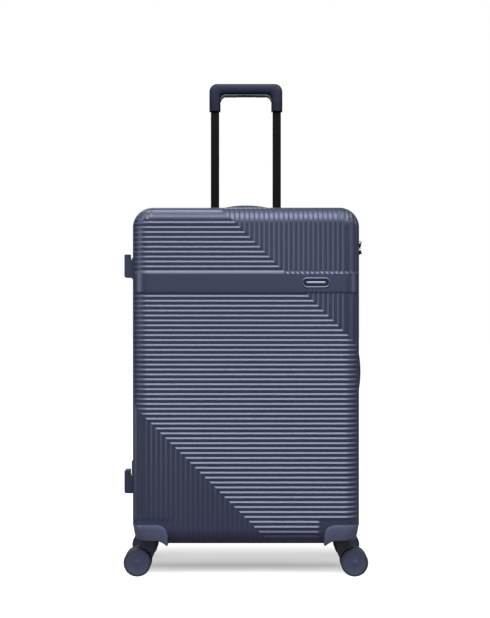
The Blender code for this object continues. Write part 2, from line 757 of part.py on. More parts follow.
def wheel_core(name, centre, material, parent):
    """Both hubs of a twin wheel, on the axle that joins them through the fork."""
    outer = WHEEL_HALF_WIDTH - 1 * MM
    inner = WHEEL_INNER_FACE
    profile = [
        (0, -outer),
        (HUB_RADIUS - 2 * MM, -outer),
        (HUB_RADIUS, -outer + 2 * MM),
        (HUB_RADIUS, -inner),
        (AXLE_RADIUS, -inner),
        (AXLE_RADIUS, inner),
        (HUB_RADIUS, inner),
        (HUB_RADIUS, outer - 2 * MM),
        (HUB_RADIUS - 2 * MM, outer),
        (0, outer),
    ]
    return place(name, turned_solid(profile, centre, "Y", WHEEL_SIDES), material, parent)


def wheel_tyre(name, centre, face, material, parent):
    """Tyre of one wheel of the pair. Face is -1 for the one in front, 1 for the one behind."""
    outer = WHEEL_HALF_WIDTH
    inner = WHEEL_INNER_FACE
    tread = WHEEL_RADIUS
    seat = HUB_RADIUS + GAP
    profile = [
        (seat, face * inner),
        (tread - 1.5 * MM, face * inner),
        (tread, face * (inner + 1.5 * MM)),
        (tread, face * (outer - 2 * MM)),
        (tread - 2 * MM, face * outer),
        (seat, face * outer),
    ]
    return place(name, turned_ring(profile, centre, "Y", WHEEL_SIDES), material, parent)


def caster(label, side, half, parent=None):
    """One caster in line with the case's sides: a swivel, and a twin wheel that rolls in it."""
    stem = (side * STEM_X, half * STEM_Y)
    swivel = pivot("caster_" + label, (*stem, HOUSING_UNDERSIDE), parent)
    caster_fork("caster_fork_" + label, stem, side, black_plastic(), swivel)
    hub = (stem[0] + side * TRAIL, stem[1], WHEEL_RADIUS)
    axle = pivot("wheel_" + label, hub, swivel)
    wheel_core("wheel_core_" + label, hub, hub_plastic(), axle)
    wheel_tyre("tyre_near_" + label, hub, -1, tyre_rubber(), axle)
    wheel_tyre("tyre_far_" + label, hub, 1, tyre_rubber(), axle)


def build_rear_half():
    rear_shell(shell_plastic())
    lining("rear_lining", 1, 98 * MM, lining_fabric())
    zip_tape("zip_tape_rear", 1, tape_fabric())
    trolley_bezel(black_plastic())
    trolley_bottom_bracket(black_plastic())
    for name, side in SIDES.items():
        outer_tube("outer_tube_" + name, side, bright_metal())
        wheel_housing("wheel_housing_rear_" + name, side, 1, shell_plastic())
        handle_mount("top_handle_mount_" + name, True, side, navy_plastic())
        caster("rear_" + name, side, 1)
    for name, end in {"lower": -1, "upper": 1}.items():
        handle_mount("side_handle_mount_" + name, False, end, navy_plastic())
    for name, low in FOOT_LOWS.items():
        side_foot("side_foot_rear_" + name, 1, low, shell_plastic())
    top_pivot = pivot("top_handle_slide", (0, CARRY_Y, TOP))
    side_pivot = pivot("side_handle_slide", (HALF_WIDTH, CARRY_Y, SIDE_HANDLE_Z))
    top_carry_handle(navy_plastic(), top_pivot)
    side_carry_handle(navy_plastic(), side_pivot)


def build_front_half():
    hinge = pivot("case_hinge", (-HALF_WIDTH - 0.5 * MM, 0, BOTTOM))
    front_shell(shell_plastic(), hinge)
    lining("front_lining", -1, 131 * MM, lining_fabric(), hinge)
    zip_tape("zip_tape_front", -1, tape_fabric(), hinge)
    badge_plate(bright_metal(), hinge)
    for name, side in SIDES.items():
        wheel_housing("wheel_housing_front_" + name, side, -1, shell_plastic(), hinge)
        caster("front_" + name, side, -1, hinge)
    for name, low in FOOT_LOWS.items():
        side_foot("side_foot_front_" + name, -1, low, shell_plastic(), hinge)


def build_trolley():
    slide = pivot("trolley_slide", (0, HANDLE_Y, TOP))
    grip(navy_plastic(), slide)
    grip_underside(hub_plastic(), slide)
    for name, side in SIDES.items():
        pole("pole_" + name, side, pole_metal(), slide)
        pole_end_plug("pole_end_plug_" + name, side, black_plastic(), slide)
    press = pivot("release_press", (0, HANDLE_Y, GRIP_TOP - GRIP_BAR), slide)
    release_button(black_plastic(), press)


def build_lock_and_zip():
    lock_housing(black_plastic())
    for i, centre in enumerate(dial_centres()):
        dial = pivot("dial_turn_" + str(i + 1), centre)
        lock_dial("lock_dial_" + str(i + 1), centre, bright_metal(), dial)
    lock_button(bright_metal(), pivot("lock_press", (DIAL_X, DIAL_Y, LATCH_Z)))
    for name, z in SLIDER_ZS.items():
        travel = pivot("zip_travel_" + name, (HALF_WIDTH, 0, z))
        zip_slider("zip_slider_" + name, z, bright_metal(), travel)
        swing = pivot("zip_pull_swing_" + name, (HALF_WIDTH + 12.9 * MM, 0, z), travel)
        zip_pull("zip_pull_" + name, z, bright_metal(), swing)


def main():
    for found in list(bpy.data.objects):
        bpy.data.objects.remove(found)
    build_rear_half()
    build_front_half()
    build_trolley()
    build_lock_and_zip()


main()
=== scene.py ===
"""Looks of a ribbed hard-shell suitcase on four twin-wheel casters, over its CAD frame.
Sections follow the suitcase as it is put together. Lengths are metres, in the frame's axes."""

import bmesh
import bpy
import numpy as np
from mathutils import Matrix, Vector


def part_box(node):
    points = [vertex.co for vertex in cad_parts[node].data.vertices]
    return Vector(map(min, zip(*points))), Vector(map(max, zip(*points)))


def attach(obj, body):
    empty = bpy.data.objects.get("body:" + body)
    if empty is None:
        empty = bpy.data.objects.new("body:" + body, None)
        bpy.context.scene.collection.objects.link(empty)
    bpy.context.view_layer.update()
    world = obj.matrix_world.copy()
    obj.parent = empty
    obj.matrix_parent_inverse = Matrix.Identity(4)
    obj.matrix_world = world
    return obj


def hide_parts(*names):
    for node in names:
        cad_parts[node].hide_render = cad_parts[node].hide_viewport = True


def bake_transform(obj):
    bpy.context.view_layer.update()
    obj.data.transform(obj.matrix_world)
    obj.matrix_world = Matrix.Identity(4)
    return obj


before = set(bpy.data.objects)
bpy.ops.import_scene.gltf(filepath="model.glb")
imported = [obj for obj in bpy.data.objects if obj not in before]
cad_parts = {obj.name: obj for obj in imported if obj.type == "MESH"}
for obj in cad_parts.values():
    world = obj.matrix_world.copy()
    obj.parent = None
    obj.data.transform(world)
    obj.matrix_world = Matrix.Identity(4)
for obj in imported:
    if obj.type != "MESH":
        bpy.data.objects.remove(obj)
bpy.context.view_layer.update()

MM = 0.001


# ---------------------------------------------------------------------------------------------
# Camera, held level straight in front of the case, a little above its middle.

camera = bpy.data.objects.new("camera", bpy.data.cameras.new("camera"))
camera.data.lens = 70.0
camera.location = (-0.002, -2.662, 0.566)
camera.rotation_euler = (np.pi / 2, 0, 0)
bpy.context.scene.collection.objects.link(camera)
bpy.context.scene.camera = camera
bpy.context.scene.view_settings.view_transform = "Standard"


# ---------------------------------------------------------------------------------------------
# Studio: a white floor and white surroundings, with a large soft light overhead, a weaker one in
# front, one at each side and one behind. Reflections and diffuse light see surroundings of their
# own, dimmer than the camera does from the sides and from behind.


def linear(code):
    """A colour from its sRGB hex code, in linear values: each channel undone by the sRGB curve."""
    channels = np.array([int(code[i : i + 2], 16) for i in (1, 3, 5)]) / 255
    low = channels / 12.92
    high = ((channels + 0.055) / 1.055) ** 2.4
    return (*np.where(channels <= 0.04045, low, high), 1.0)


def add_node(tree, kind, links=None, inputs=None, **settings):
    """Adds a node. Links maps input names to output sockets, inputs to values, and settings are
    the node's own properties."""
    made = tree.nodes.new("ShaderNode" + kind)
    for name, value in settings.items():
        setattr(made, name, value)
    for name, value in (inputs or {}).items():
        made.inputs[name].default_value = value
    for name, socket in (links or {}).items():
        tree.links.new(socket, made.inputs[name])
    return made


def studio_light(name, place, aim, size, power):
    """A rectangular soft light at a place, turned to face a point."""
    lamp = bpy.data.lights.new(name, "AREA")
    lamp.shape = "RECTANGLE"
    lamp.size, lamp.size_y = size
    lamp.energy = power
    lit = bpy.data.objects.new(name, lamp)
    towards = np.subtract(aim, place)
    flat = np.hypot(towards[0], towards[1])
    lit.rotation_euler = (np.arctan2(flat, -towards[2]), 0, np.arctan2(-towards[0], towards[1]))
    lit.location = place
    bpy.context.scene.collection.objects.link(lit)
    return lit


studio_light("overhead_softbox", (0.1, -1.7, 2.55), (0, -0.3, 0.4), (2.6, 1.8), 70)
studio_light("front_softbox", (0.45, -4.2, 1.35), (0, 0, 0.7), (2.6, 1.8), 8.5)
studio_light("right_strip", (2.7, -1.2, 1.2), (0, 0, 0.6), (1.1, 1.5), 12)
studio_light("left_strip", (-2.6, -1.4, 0.75), (0, 0, 0.6), (1.3, 1.46), 17)
studio_light("rear_softbox", (-0.9, 3.2, 2.2), (0, 0.15, 0.45), (2.2, 1.6), 18)

world = bpy.data.worlds.new("white_surroundings")
world.use_nodes = True
bpy.context.scene.world = world
air = world.node_tree
air.nodes.clear()
ray = add_node(air, "LightPath")
seen = add_node(air, "Background", inputs={"Color": (1, 1, 1, 1), "Strength": 1.0})
diffuse = add_node(air, "Background", inputs={"Color": (0.95, 0.97, 1, 1), "Strength": 0.16})
way = add_node(air, "SeparateXYZ", {"Vector": add_node(air, "TexCoord").outputs["Generated"]})
ceiling_span = {"From Min": 0.2, "From Max": 0.75, "To Min": 0.0, "To Max": 4.0}
front_span = {"From Min": -0.5, "From Max": 0.45, "To Min": 1.0, "To Max": 0.05}
ceiling = add_node(air, "MapRange", {"Value": way.outputs["Z"]}, ceiling_span)
front = add_node(air, "MapRange", {"Value": way.outputs["Y"]}, front_span)
lamps = {0: ceiling.outputs["Result"], 1: front.outputs["Result"]}
glow = add_node(air, "Math", lamps, {2: 0.1}, operation="MULTIPLY_ADD")
flags = add_node(air, "Background", {"Strength": glow.outputs["Value"]}, {"Color": (0.9, 0.94, 1, 1)})
by_bounce = {0: ray.outputs["Is Glossy Ray"], 1: diffuse.outputs[0], 2: flags.outputs[0]}
lit = add_node(air, "MixShader", by_bounce)
by_ray = {0: ray.outputs["Is Camera Ray"], 1: lit.outputs[0], 2: seen.outputs[0]}
all_rays = add_node(air, "MixShader", by_ray)
add_node(air, "OutputWorld", {"Surface": all_rays.outputs[0]})


def new_material(name):
    """A material with its Principled shader, as (material, node tree, shader)."""
    made = bpy.data.materials.new(name)
    made.use_nodes = True
    return made, made.node_tree, made.node_tree.nodes["Principled BSDF"]


def painted_floor():
    """Matt pale studio floor. To the camera it glows, less under the case than around it, so that
    it ends in the white of the surroundings. The shade under the case is this ramp of levels and
    no cast shadow, so it stays where it is as the case opens. To all other rays the floor is a
    darker grey, which throws only weak light up at the case."""
    made, tree, shader = new_material("matt_white_floor")
    shader.inputs["Roughness"].default_value = 0.9
    shader.inputs["Specular IOR Level"].default_value = 0.1
    shader.inputs["Emission Color"].default_value = (1, 1, 1, 1)
    place = add_node(tree, "SeparateXYZ", {"Vector": add_node(tree, "TexCoord").outputs["Object"]})
    depth = add_node(tree, "MapRange", {"Value": place.outputs["Y"]}, {"From Min": -0.10, "From Max": 0.24})
    shade = add_node(tree, "ValToRGB", {"Fac": depth.outputs["Result"]})
    ramp = shade.color_ramp
    levels = [
        (0.09, 0.72), (0.15, 0.58), (0.21, 0.47), (0.27, 0.37), (0.39, 0.52), (0.65, 0.60), (0.79, 0.74),
    ]
    for where, level in levels:
        ramp.elements.new(where).color = (level, level, level, 1)
    ramp.elements[0].color = (1, 1, 1, 1)
    across = add_node(tree, "Math", {0: place.outputs["X"]}, operation="ABSOLUTE")
    case_side = {"From Min": 0.19, "From Max": 0.26}
    beside = add_node(tree, "MapRange", {"Value": across.outputs["Value"]}, case_side)
    both = {0: shade.outputs["Color"], 1: beside.outputs["Result"]}
    glow = add_node(tree, "Math", both, operation="MAXIMUM")
    ray = add_node(tree, "LightPath").outputs["Is Camera Ray"]
    grey = add_node(tree, "MapRange", {"Value": ray}, {"To Min": 0.25, "To Max": 0.46})
    tree.links.new(grey.outputs["Result"], shader.inputs["Base Color"])
    shown = add_node(tree, "Math", {0: glow.outputs["Value"], 1: ray}, operation="MULTIPLY")
    tree.links.new(shown.outputs["Value"], shader.inputs["Emission Strength"])
    return made


floor_mesh = bpy.data.meshes.new("studio_floor")
floor_mesh.from_pydata([(-12, -8, 0), (12, -8, 0), (12, 20, 0), (-12, 20, 0)], [], [(0, 1, 2, 3)])
floor_mesh.materials.append(painted_floor())
studio_floor = bpy.data.objects.new("studio_floor", floor_mesh)
bpy.context.scene.collection.objects.link(studio_floor)


# ---------------------------------------------------------------------------------------------
# Front and rear shells: thermoformed polycarbonate trays with fine louvre ribs. Level ribs cross
# the middle, and turn upright at two mitred diagonals. A smooth raised band crosses the front.

HALF_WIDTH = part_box("rear_shell")[1][0]
CASE_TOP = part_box("rear_shell")[1][2]
CASE_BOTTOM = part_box("rear_shell")[0][2]
OUTLINE_RADIUS = 42 * MM
EDGE_RADIUS = 35 * MM
SHELL_WALL = 2.2 * MM
RIB_PITCH = 10.28 * MM
RIB_ORIGIN = 593.6 * MM
RIB_DEPTH = 2.2 * MM
UPPER_MITRE = 724.2 * MM
LOWER_MITRE = UPPER_MITRE - 58 * RIB_PITCH
# One rib from the middle of its bevel: crest edge, bevel, groove edge, and the long face back out.
RIB_PLACES = np.array([-2.4, -1.7, 1.7, 2.4, 7.88]) * MM
RIB_HEIGHTS = np.array([0.95, 0.95, 0.05, 0.05, 0.95])
BAND_PLACES = np.array([599.0, 602.0, 602.5, 639.1, 639.6, 644.4]) * MM
BAND_RISE = [0, 1, 1, 1, 1, 0]
BAND_HEIGHT = 3.0 * MM
FACE_BEHIND_BAND = 2.7 * MM
# Ribs end in a smooth border round the wheel housings, and at an arc length round the fillet.
HOUSING_SIDE = 164 * MM
HOUSING_TOP = 113.4 * MM
HOUSING_BORDER = 9 * MM
RIBS_END = 43 * MM
RIBS_FADE = 9 * MM


def rib_lines(low, high, upright):
    """Where rib edges lie between two limits: the edges of one rib, repeated at the pitch.
    Upright ribs mirror the level ones about the mitre."""
    repeats = np.arange(-80, 80)[:, None] * RIB_PITCH
    lines = (RIB_ORIGIN + repeats + RIB_PLACES[:4]).ravel()
    if upright:
        lines = UPPER_MITRE - lines
    lines = np.sort(lines)
    return lines[(lines > low + 0.3 * MM) & (lines < high - 0.3 * MM)]


def rib_height(across, up):
    """Height of the surface over its grooves at unfolded coordinates: a louvre that rises along
    its long face and drops at its bevel, read along Z between the diagonals, and along -X
    outside them."""
    total = across + up
    phase = np.where(total > UPPER_MITRE, UPPER_MITRE - across, up)
    phase = np.where(total < LOWER_MITRE, LOWER_MITRE - across, phase)
    place = (phase - RIB_ORIGIN - RIB_PLACES[0]) % RIB_PITCH + RIB_PLACES[0]
    return RIB_DEPTH * np.interp(place, RIB_PLACES, RIB_HEIGHTS)


def shell_mesh(name, base_y, out, rim_y, band):
    """A tray as one grid on its face and rings around it. A ring lies at an arc length beyond the
    face's edge, round the fillet and along the wall. Corner rings blend a square into a circle.
    Out is -1 where the face looks to -Y, and 1 where it looks to +Y."""
    half = HALF_WIDTH - EDGE_RADIUS
    low, high = CASE_BOTTOM + EDGE_RADIUS, CASE_TOP - EDGE_RADIUS
    xs = np.concatenate([[-half], rib_lines(-half, half, True), [half]])
    zs = np.concatenate([[low], rib_lines(low, high, False), [high]])
    if band:
        inside = (zs > BAND_PLACES[0] - 0.4 * MM) & (zs < BAND_PLACES[-1] + 0.4 * MM)
        zs = np.sort(np.concatenate([zs[~inside], BAND_PLACES]))
    # More lines in the last stretch before each corner, so that the outline bends evenly there.
    spare = OUTLINE_RADIUS - EDGE_RADIUS
    finer = np.linspace(0.15, 0.9, 7) * spare
    xs = np.unique(np.concatenate([xs, half - finer, finer - half]))
    zs = np.unique(np.concatenate([zs, high - finer, low + finer]))
    nx, nz = len(xs), len(zs)

    def height(across, up, fade):
        """Ribs and band together. The ribs also end in a smooth border round the housings."""
        beside = np.maximum(HOUSING_SIDE - np.abs(across), up - HOUSING_TOP)
        clear = np.clip((beside - HOUSING_BORDER) / (3 * MM), 0, 1)
        raised = rib_height(across, up) * fade * clear
        if band:
            raised = np.maximum(raised, BAND_HEIGHT * fade * np.interp(up, BAND_PLACES, BAND_RISE))
        return raised

    face_x, face_z = np.meshgrid(xs, zs, indexing="ij")
    face_y = base_y + out * height(face_x, face_z, 1.0)
    face = np.stack([face_x, face_y, face_z], -1).reshape(-1, 3)

    # The grid's edge points in turn: along its top, down, back along its bottom, and up.
    ix = np.concatenate([
        np.arange(nx - 1), np.full(nz - 1, nx - 1), np.arange(nx - 1, 0, -1), np.zeros(nz - 1, int),
    ])
    iz = np.concatenate([
        np.full(nx - 1, nz - 1), np.arange(nz - 1, 0, -1), np.zeros(nx - 1, int), np.arange(nz - 1),
    ])
    edge_x, edge_z = xs[ix], zs[iz]
    corner = np.stack([
        np.clip(edge_x, -half + spare, half - spare),
        np.clip(edge_z, low + spare, high - spare),
    ], -1)
    reach = np.stack([edge_x, edge_z], -1) - corner
    turn = (np.abs(reach[:, 0]) + spare - np.abs(reach[:, 1])) / (2 * spare)
    angle_there = turn * np.pi / 2
    way = np.sign(reach) * np.stack([np.sin(angle_there), np.cos(angle_there)], -1)

    def ring(inset_share, inward, y):
        """Points of one smooth ring, between the square grid edge and the round outline by a
        share, and drawn inwards."""
        flat = corner + inset_share * reach + ((1 - inset_share) * OUTLINE_RADIUS - inward) * way
        return np.stack([flat[:, 0], np.full(len(flat), y), flat[:, 1]], -1)

    rows = 20
    right = rib_lines(half, half + 0.08, True)[:rows] - half
    left = -half - rib_lines(-half - 0.08, -half, True)[::-1][:rows]
    top = rib_lines(high, high + 0.08, False)[:rows] - high
    bottom = low - rib_lines(low - 0.08, low, False)[::-1][:rows]
    sideways = np.where(reach[:, :1] > 0, right, left)
    upwards = np.where(reach[:, 1:] > 0, top, bottom)
    arcs = upwards + turn[:, None] * (sideways - upwards)
    arcs = np.minimum(arcs, EDGE_RADIUS * np.pi / 2 - 0.5 * MM)
    rings = []
    for k in range(rows):
        arc = arcs[:, k]
        tilt = arc / EDGE_RADIUS
        fade = np.clip((RIBS_END - arc) / RIBS_FADE, 0, 1)
        rise = height(edge_x + arc * way[:, 0], edge_z + arc * way[:, 1], fade)
        share = 1 - np.sin(tilt)
        outwards = (1 - share) * OUTLINE_RADIUS + rise * np.sin(tilt)
        flat = corner + share[:, None] * reach + outwards[:, None] * way
        deep = base_y - out * EDGE_RADIUS * (1 - np.cos(tilt)) + out * rise * np.cos(tilt)
        rings.append(np.stack([flat[:, 0], deep, flat[:, 1]], -1))
    wall_y = base_y - out * EDGE_RADIUS
    # The second ring is where the recess of the telescopic handle starts in the rear shell.
    for part in (0.0, 0.114, 0.35, 0.7, 0.95):
        rings.append(ring(0, 0, wall_y + part * (rim_y - wall_y)))
    rings.append(ring(0, 0, rim_y + out * 0.6 * MM))
    rings.append(ring(0, 0.5 * MM, rim_y))
    rings.append(ring(0, SHELL_WALL - 0.5 * MM, rim_y))
    rings.append(ring(0, SHELL_WALL, rim_y + out * 0.6 * MM))
    rings.append(ring(0, SHELL_WALL, wall_y))
    for angle in np.radians([68, 45, 22, 0]):
        inner = EDGE_RADIUS - SHELL_WALL
        share = 1 - np.sin(angle)
        y = base_y - out * (SHELL_WALL + inner * (1 - np.cos(angle)))
        rings.append(ring(share, SHELL_WALL, y))
    centre = np.array([[0, base_y - out * SHELL_WALL, (low + high) / 2]])
    points = np.concatenate([face, *rings, centre])

    a = (np.arange(nx - 1)[:, None] * nz + np.arange(nz - 1)).ravel()
    b, c, d = a + nz, a + nz + 1, a + 1
    faces = [np.stack([a, b, d], -1), np.stack([b, c, d], -1)]
    count = len(ix)
    loops = np.concatenate([[ix * nz + iz], nx * nz + np.arange(len(rings) * count).reshape(-1, count)])
    level = np.repeat([True, False, True, False], [nx - 1, nz - 1, nx - 1, nz - 1])
    for near, far in zip(loops[:-1], loops[1:]):
        near_next, far_next = np.roll(near, -1), np.roll(far, -1)
        faces.append(np.stack([near, near_next, np.where(level, far, far_next)], -1))
        faces.append(np.stack([np.where(level, near_next, near), far_next, far], -1))
    last = loops[-1]
    faces.append(np.stack([last, np.roll(last, -1), np.full(count, len(points) - 1)], -1))
    return closed_mesh(name, points, np.concatenate(faces))


def closed_mesh(name, points, faces, flat_edges=40):
    """A mesh from points and faces, turned outwards, smooth except over sharper edges."""
    mesh = bpy.data.meshes.new(name)
    mesh.from_pydata(points, [], faces)
    work = bmesh.new()
    work.from_mesh(mesh)
    bmesh.ops.recalc_face_normals(work, faces=work.faces)
    work.to_mesh(mesh)
    work.free()
    mesh.shade_smooth()
    mesh.set_sharp_from_angle(angle=np.radians(flat_edges))
    return mesh


def opened(mesh, cut, flat_edges=40):
    """The mesh of triangles without those whose centres the cut function marks."""
    count = len(mesh.polygons)
    centres = np.empty(count * 3)
    mesh.polygons.foreach_get("center", centres)
    corners = np.empty(count * 3, int)
    mesh.loops.foreach_get("vertex_index", corners)
    kept = corners.reshape(-1, 3)[~cut(centres.reshape(-1, 3))]
    points = np.empty(len(mesh.vertices) * 3)
    mesh.vertices.foreach_get("co", points)
    used, faces = np.unique(kept, return_inverse=True)
    left = bpy.data.meshes.new(mesh.name)
    left.from_pydata(points.reshape(-1, 3)[used], [], faces.reshape(-1, 3))
    left.shade_smooth()
    left.set_sharp_from_angle(angle=np.radians(flat_edges))
    return left


def piece(name, mesh, material, body, slot, *nodes):
    """Puts a mesh in the scene as a piece of a body, in place of CAD nodes where there are any."""
    made = bpy.data.objects.new(name, mesh)
    bpy.context.scene.collection.objects.link(made)
    mesh.materials.append(material)
    if nodes:
        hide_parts(*nodes)
    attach(made, body)
    return made


def two_tones(tree, shader, factor, colour, darker, lighter, start=0.0, end=1.0):
    """Lets the surface drift between a darker and a lighter share of one colour, as the factor
    goes from start to end."""
    tone = add_node(tree, "ValToRGB", {"Fac": factor})
    base = np.array(linear(colour))[:3]
    for stop, share, place in zip(tone.color_ramp.elements, (darker, lighter), (start, end)):
        stop.color = (*(base * share), 1)
        stop.position = place
    tree.links.new(tone.outputs["Color"], shader.inputs["Base Color"])


def uneven_gloss(tree, shader, factor, smoothest, roughest):
    """Lets the roughness go between two values with the factor."""
    gloss = add_node(tree, "MapRange", {"Value": factor}, {"To Min": smoothest, "To Max": roughest})
    tree.links.new(gloss.outputs["Result"], shader.inputs["Roughness"])


def relief(tree, shader, links, strength, distance):
    """Gives the surface a fine bump over a height, on top of another normal if one is linked."""
    bump = add_node(tree, "Bump", links, {"Strength": strength, "Distance": distance})
    tree.links.new(bump.outputs["Normal"], shader.inputs["Normal"])


def satin_polycarbonate(name, colour, roughness):
    """Thermoformed polycarbonate with a satin film: a fine moulded grain of about 0.6 mm, slight
    streaks in the gloss, and a faint drift of the colour over the panel."""
    made, tree, shader = new_material(name)
    place = add_node(tree, "TexCoord").outputs["Object"]
    drift = add_node(tree, "TexNoise", {"Vector": place}, {"Scale": 5.0, "Detail": 3.0})
    two_tones(tree, shader, drift.outputs["Fac"], colour, 0.93, 1.07, 0.3, 0.7)
    streaks = {"Scale": 60.0, "Detail": 5.0, "Roughness": 0.7}
    wear = add_node(tree, "TexNoise", {"Vector": place}, streaks)
    uneven_gloss(tree, shader, wear.outputs["Fac"], roughness - 0.05, roughness + 0.06)
    grain = add_node(tree, "TexNoise", {"Vector": place}, {"Scale": 1600.0, "Detail": 1.0})
    relief(tree, shader, {"Height": grain.outputs["Fac"]}, 0.12, 0.00012)
    shader.inputs["IOR"].default_value = 1.58
    shader.inputs["Specular Tint"].default_value = (0.76, 0.80, 1.0, 1)
    return made


# The cut for a wheel housing: its inner side, its top, and the depth that it starts at. On the
# shell's face its upper corner is an arc about CUT_CENTRE.
CUT_SIDE = 169 * MM
CUT_TOP = 108 * MM
CUT_DEPTH = 55 * MM
CUT_FACE_DEPTH = 100 * MM
CUT_CENTRE = (187 * MM, 93 * MM)
CUT_RADIUS = 17 * MM
# The cut for the telescopic handle: its half width, its start and end in depth, and its bottom.
RECESS_HALF = 91 * MM
RECESS_DEPTHS = (101 * MM, 139 * MM)
RECESS_BOTTOM = 700 * MM


def wheel_corners(centres):
    """True in the lower corners, where the wheel housings are let in. The shell runs a little way
    under their edges, and fills the outside of their round upper corners."""
    x, y, z = np.abs(centres).T
    reach = np.hypot(np.minimum(x - CUT_CENTRE[0], 0), np.maximum(z - CUT_CENTRE[1], 0))
    filled = (reach > CUT_RADIUS) & (y > CUT_FACE_DEPTH)
    return (x > CUT_SIDE) & (z < CUT_TOP) & (y > CUT_DEPTH) & ~filled


def rear_openings(centres):
    """True in the wheel corners, and where the recess of the telescopic handle is let in."""
    x, y, z = centres.T
    start, end = RECESS_DEPTHS
    recess = (np.abs(x) < RECESS_HALF) & (y > start) & (y < end) & (z > RECESS_BOTTOM)
    return wheel_corners(centres) | recess


shell_finish = satin_polycarbonate("satin_polycarbonate", "#35394f", 0.31)
front_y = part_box("front_shell")[0][1]
front_mesh = shell_mesh("ribbed_front_shell", front_y + FACE_BEHIND_BAND, -1, -5 * MM, True)
front_mesh = opened(front_mesh, wheel_corners, 20)
piece("ribbed_front_shell", front_mesh, shell_finish, "front_case", "shell", "front_shell")
rear_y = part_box("rear_shell")[1][1]
rear_mesh = shell_mesh("ribbed_rear_shell", rear_y - RIB_DEPTH, 1, 5 * MM, False)
rear_mesh = opened(rear_mesh, rear_openings, 20)
piece("ribbed_rear_shell", rear_mesh, shell_finish, "rear_case", "shell", "rear_shell")


# ---------------------------------------------------------------------------------------------
# Badge: a small oval plate of plated zinc on the band, with a raised rim and a dark inlay. The
# inlay carries only a plain bar.


def grid_faces(rows, columns, round_rows=False, round_columns=True):
    """Quads of a grid of points numbered along its columns, closed round either way if asked."""
    i = np.arange(rows if round_rows else rows - 1)[:, None]
    j = np.arange(columns if round_columns else columns - 1)[None, :]
    after_i, after_j = (i + 1) % rows, (j + 1) % columns
    near, far = i * columns, after_i * columns
    corners = np.broadcast_arrays(near + j, near + after_j, far + after_j, far + j)
    return np.stack(corners, -1).reshape(-1, 4)


def lofted(name, rings, flat_edges=40, whole=False):
    """A closed mesh through rings of equally many points. Its end rings are filled by fans to
    their middles, or the last ring joins the first if it is whole."""
    rings = np.asarray(rings, float)
    rows, columns = rings.shape[:2]
    points = rings.reshape(-1, 3)
    faces = grid_faces(rows, columns, whole).tolist()
    if not whole:
        ends = np.stack([rings[0].mean(0), rings[-1].mean(0)])
        points = np.concatenate([points, ends])
        first = np.arange(columns)
        last = first + (rows - 1) * columns
        faces += np.stack([first, np.roll(first, -1), np.full(columns, rows * columns)], -1).tolist()
        faces += np.stack([last, np.roll(last, -1), np.full(columns, rows * columns + 1)], -1).tolist()
    return closed_mesh(name, points, faces, flat_edges)


def rounded_outline(half_width, half_height, radius, steps=8):
    """A rectangle about the origin with round corners: four arcs, one after the other."""
    turns = np.radians(np.linspace(0, 90, steps + 1))
    arcs = []
    for quarter, (sx, sy) in enumerate(((1, 1), (-1, 1), (-1, -1), (1, -1))):
        angles = turns + quarter * np.pi / 2
        middle = np.array([sx * (half_width - radius), sy * (half_height - radius)])
        arcs.append(middle + radius * np.stack([np.cos(angles), np.sin(angles)], -1))
    return np.concatenate(arcs)


def plated_metal(name, colour, roughness):
    """Plated zinc: bright, with fine rubbing marks that change its gloss."""
    made, tree, shader = new_material(name)
    place = add_node(tree, "TexCoord").outputs["Object"]
    rubbed = add_node(tree, "TexNoise", {"Vector": place}, {"Scale": 400.0, "Detail": 4.0})
    uneven_gloss(tree, shader, rubbed.outputs["Fac"], roughness * 0.7, roughness * 1.4)
    shader.inputs["Base Color"].default_value = linear(colour)
    shader.inputs["Metallic"].default_value = 1.0
    return made


def oval_rings(middle, half_width, half_height, steps):
    """Rings of the oval's outline about a middle. A step is (inset, y)."""
    rings = []
    for inset, y in steps:
        high = half_height - inset
        outline = middle + rounded_outline(half_width - inset, high, high - 0.2 * MM, 10)
        rings.append(np.stack([outline[:, 0], np.full(len(outline), y), outline[:, 1]], -1))
    return rings


badge_low, badge_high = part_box("badge_plate")
badge_middle = ((badge_low[0] + badge_high[0]) / 2, (badge_low[2] + badge_high[2]) / 2)
badge_half = ((badge_high[0] - badge_low[0]) / 2, (badge_high[2] - badge_low[2]) / 2)
badge_back, badge_face = badge_high[1], badge_low[1]
rim_steps = [
    (0.0, badge_back),
    (0.0, badge_face + 0.35 * MM),
    (0.5 * MM, badge_face - 0.3 * MM),
    (1.4 * MM, badge_face - 0.7 * MM),
    (2.4 * MM, badge_face - 0.6 * MM),
    (3.4 * MM, badge_face + 0.2 * MM),
    (3.6 * MM, badge_back),
]
bright_plate = plated_metal("plated_zinc", "#8f92a0", 0.28)
rim = lofted("badge_rim", oval_rings(badge_middle, *badge_half, rim_steps), 50, whole=True)
rim_plate = plated_metal("dark_plated_rim", "#5c5f6e", 0.3)
piece("badge_rim", rim, rim_plate, "front_case", "bright_metal", "badge_plate")
inlay_steps = [(3.7 * MM, badge_back), (3.7 * MM, badge_face + 0.35 * MM)]
inlay_finish = satin_polycarbonate("badge_enamel", "#14162a", 0.25)
inlay = lofted("badge_inlay", oval_rings(badge_middle, *badge_half, inlay_steps), 50)
piece("badge_inlay", inlay, inlay_finish, "front_case", "bright_metal")
bar_steps = [(0.0, badge_back), (0.0, badge_face + 0.3 * MM), (0.3 * MM, badge_face + 0.1 * MM)]
bar = lofted("badge_bar", oval_rings(badge_middle, 20 * MM, 2.0 * MM, bar_steps), 50)
piece("badge_bar", bar, bright_plate, "front_case", "bright_metal")


# ---------------------------------------------------------------------------------------------
# Wheel housings: injection-moulded corner pieces let into the shells, screwed on from inside.
# Each has a smooth panel round the corner, a deeper skirt at its inner end, and a flat underside.


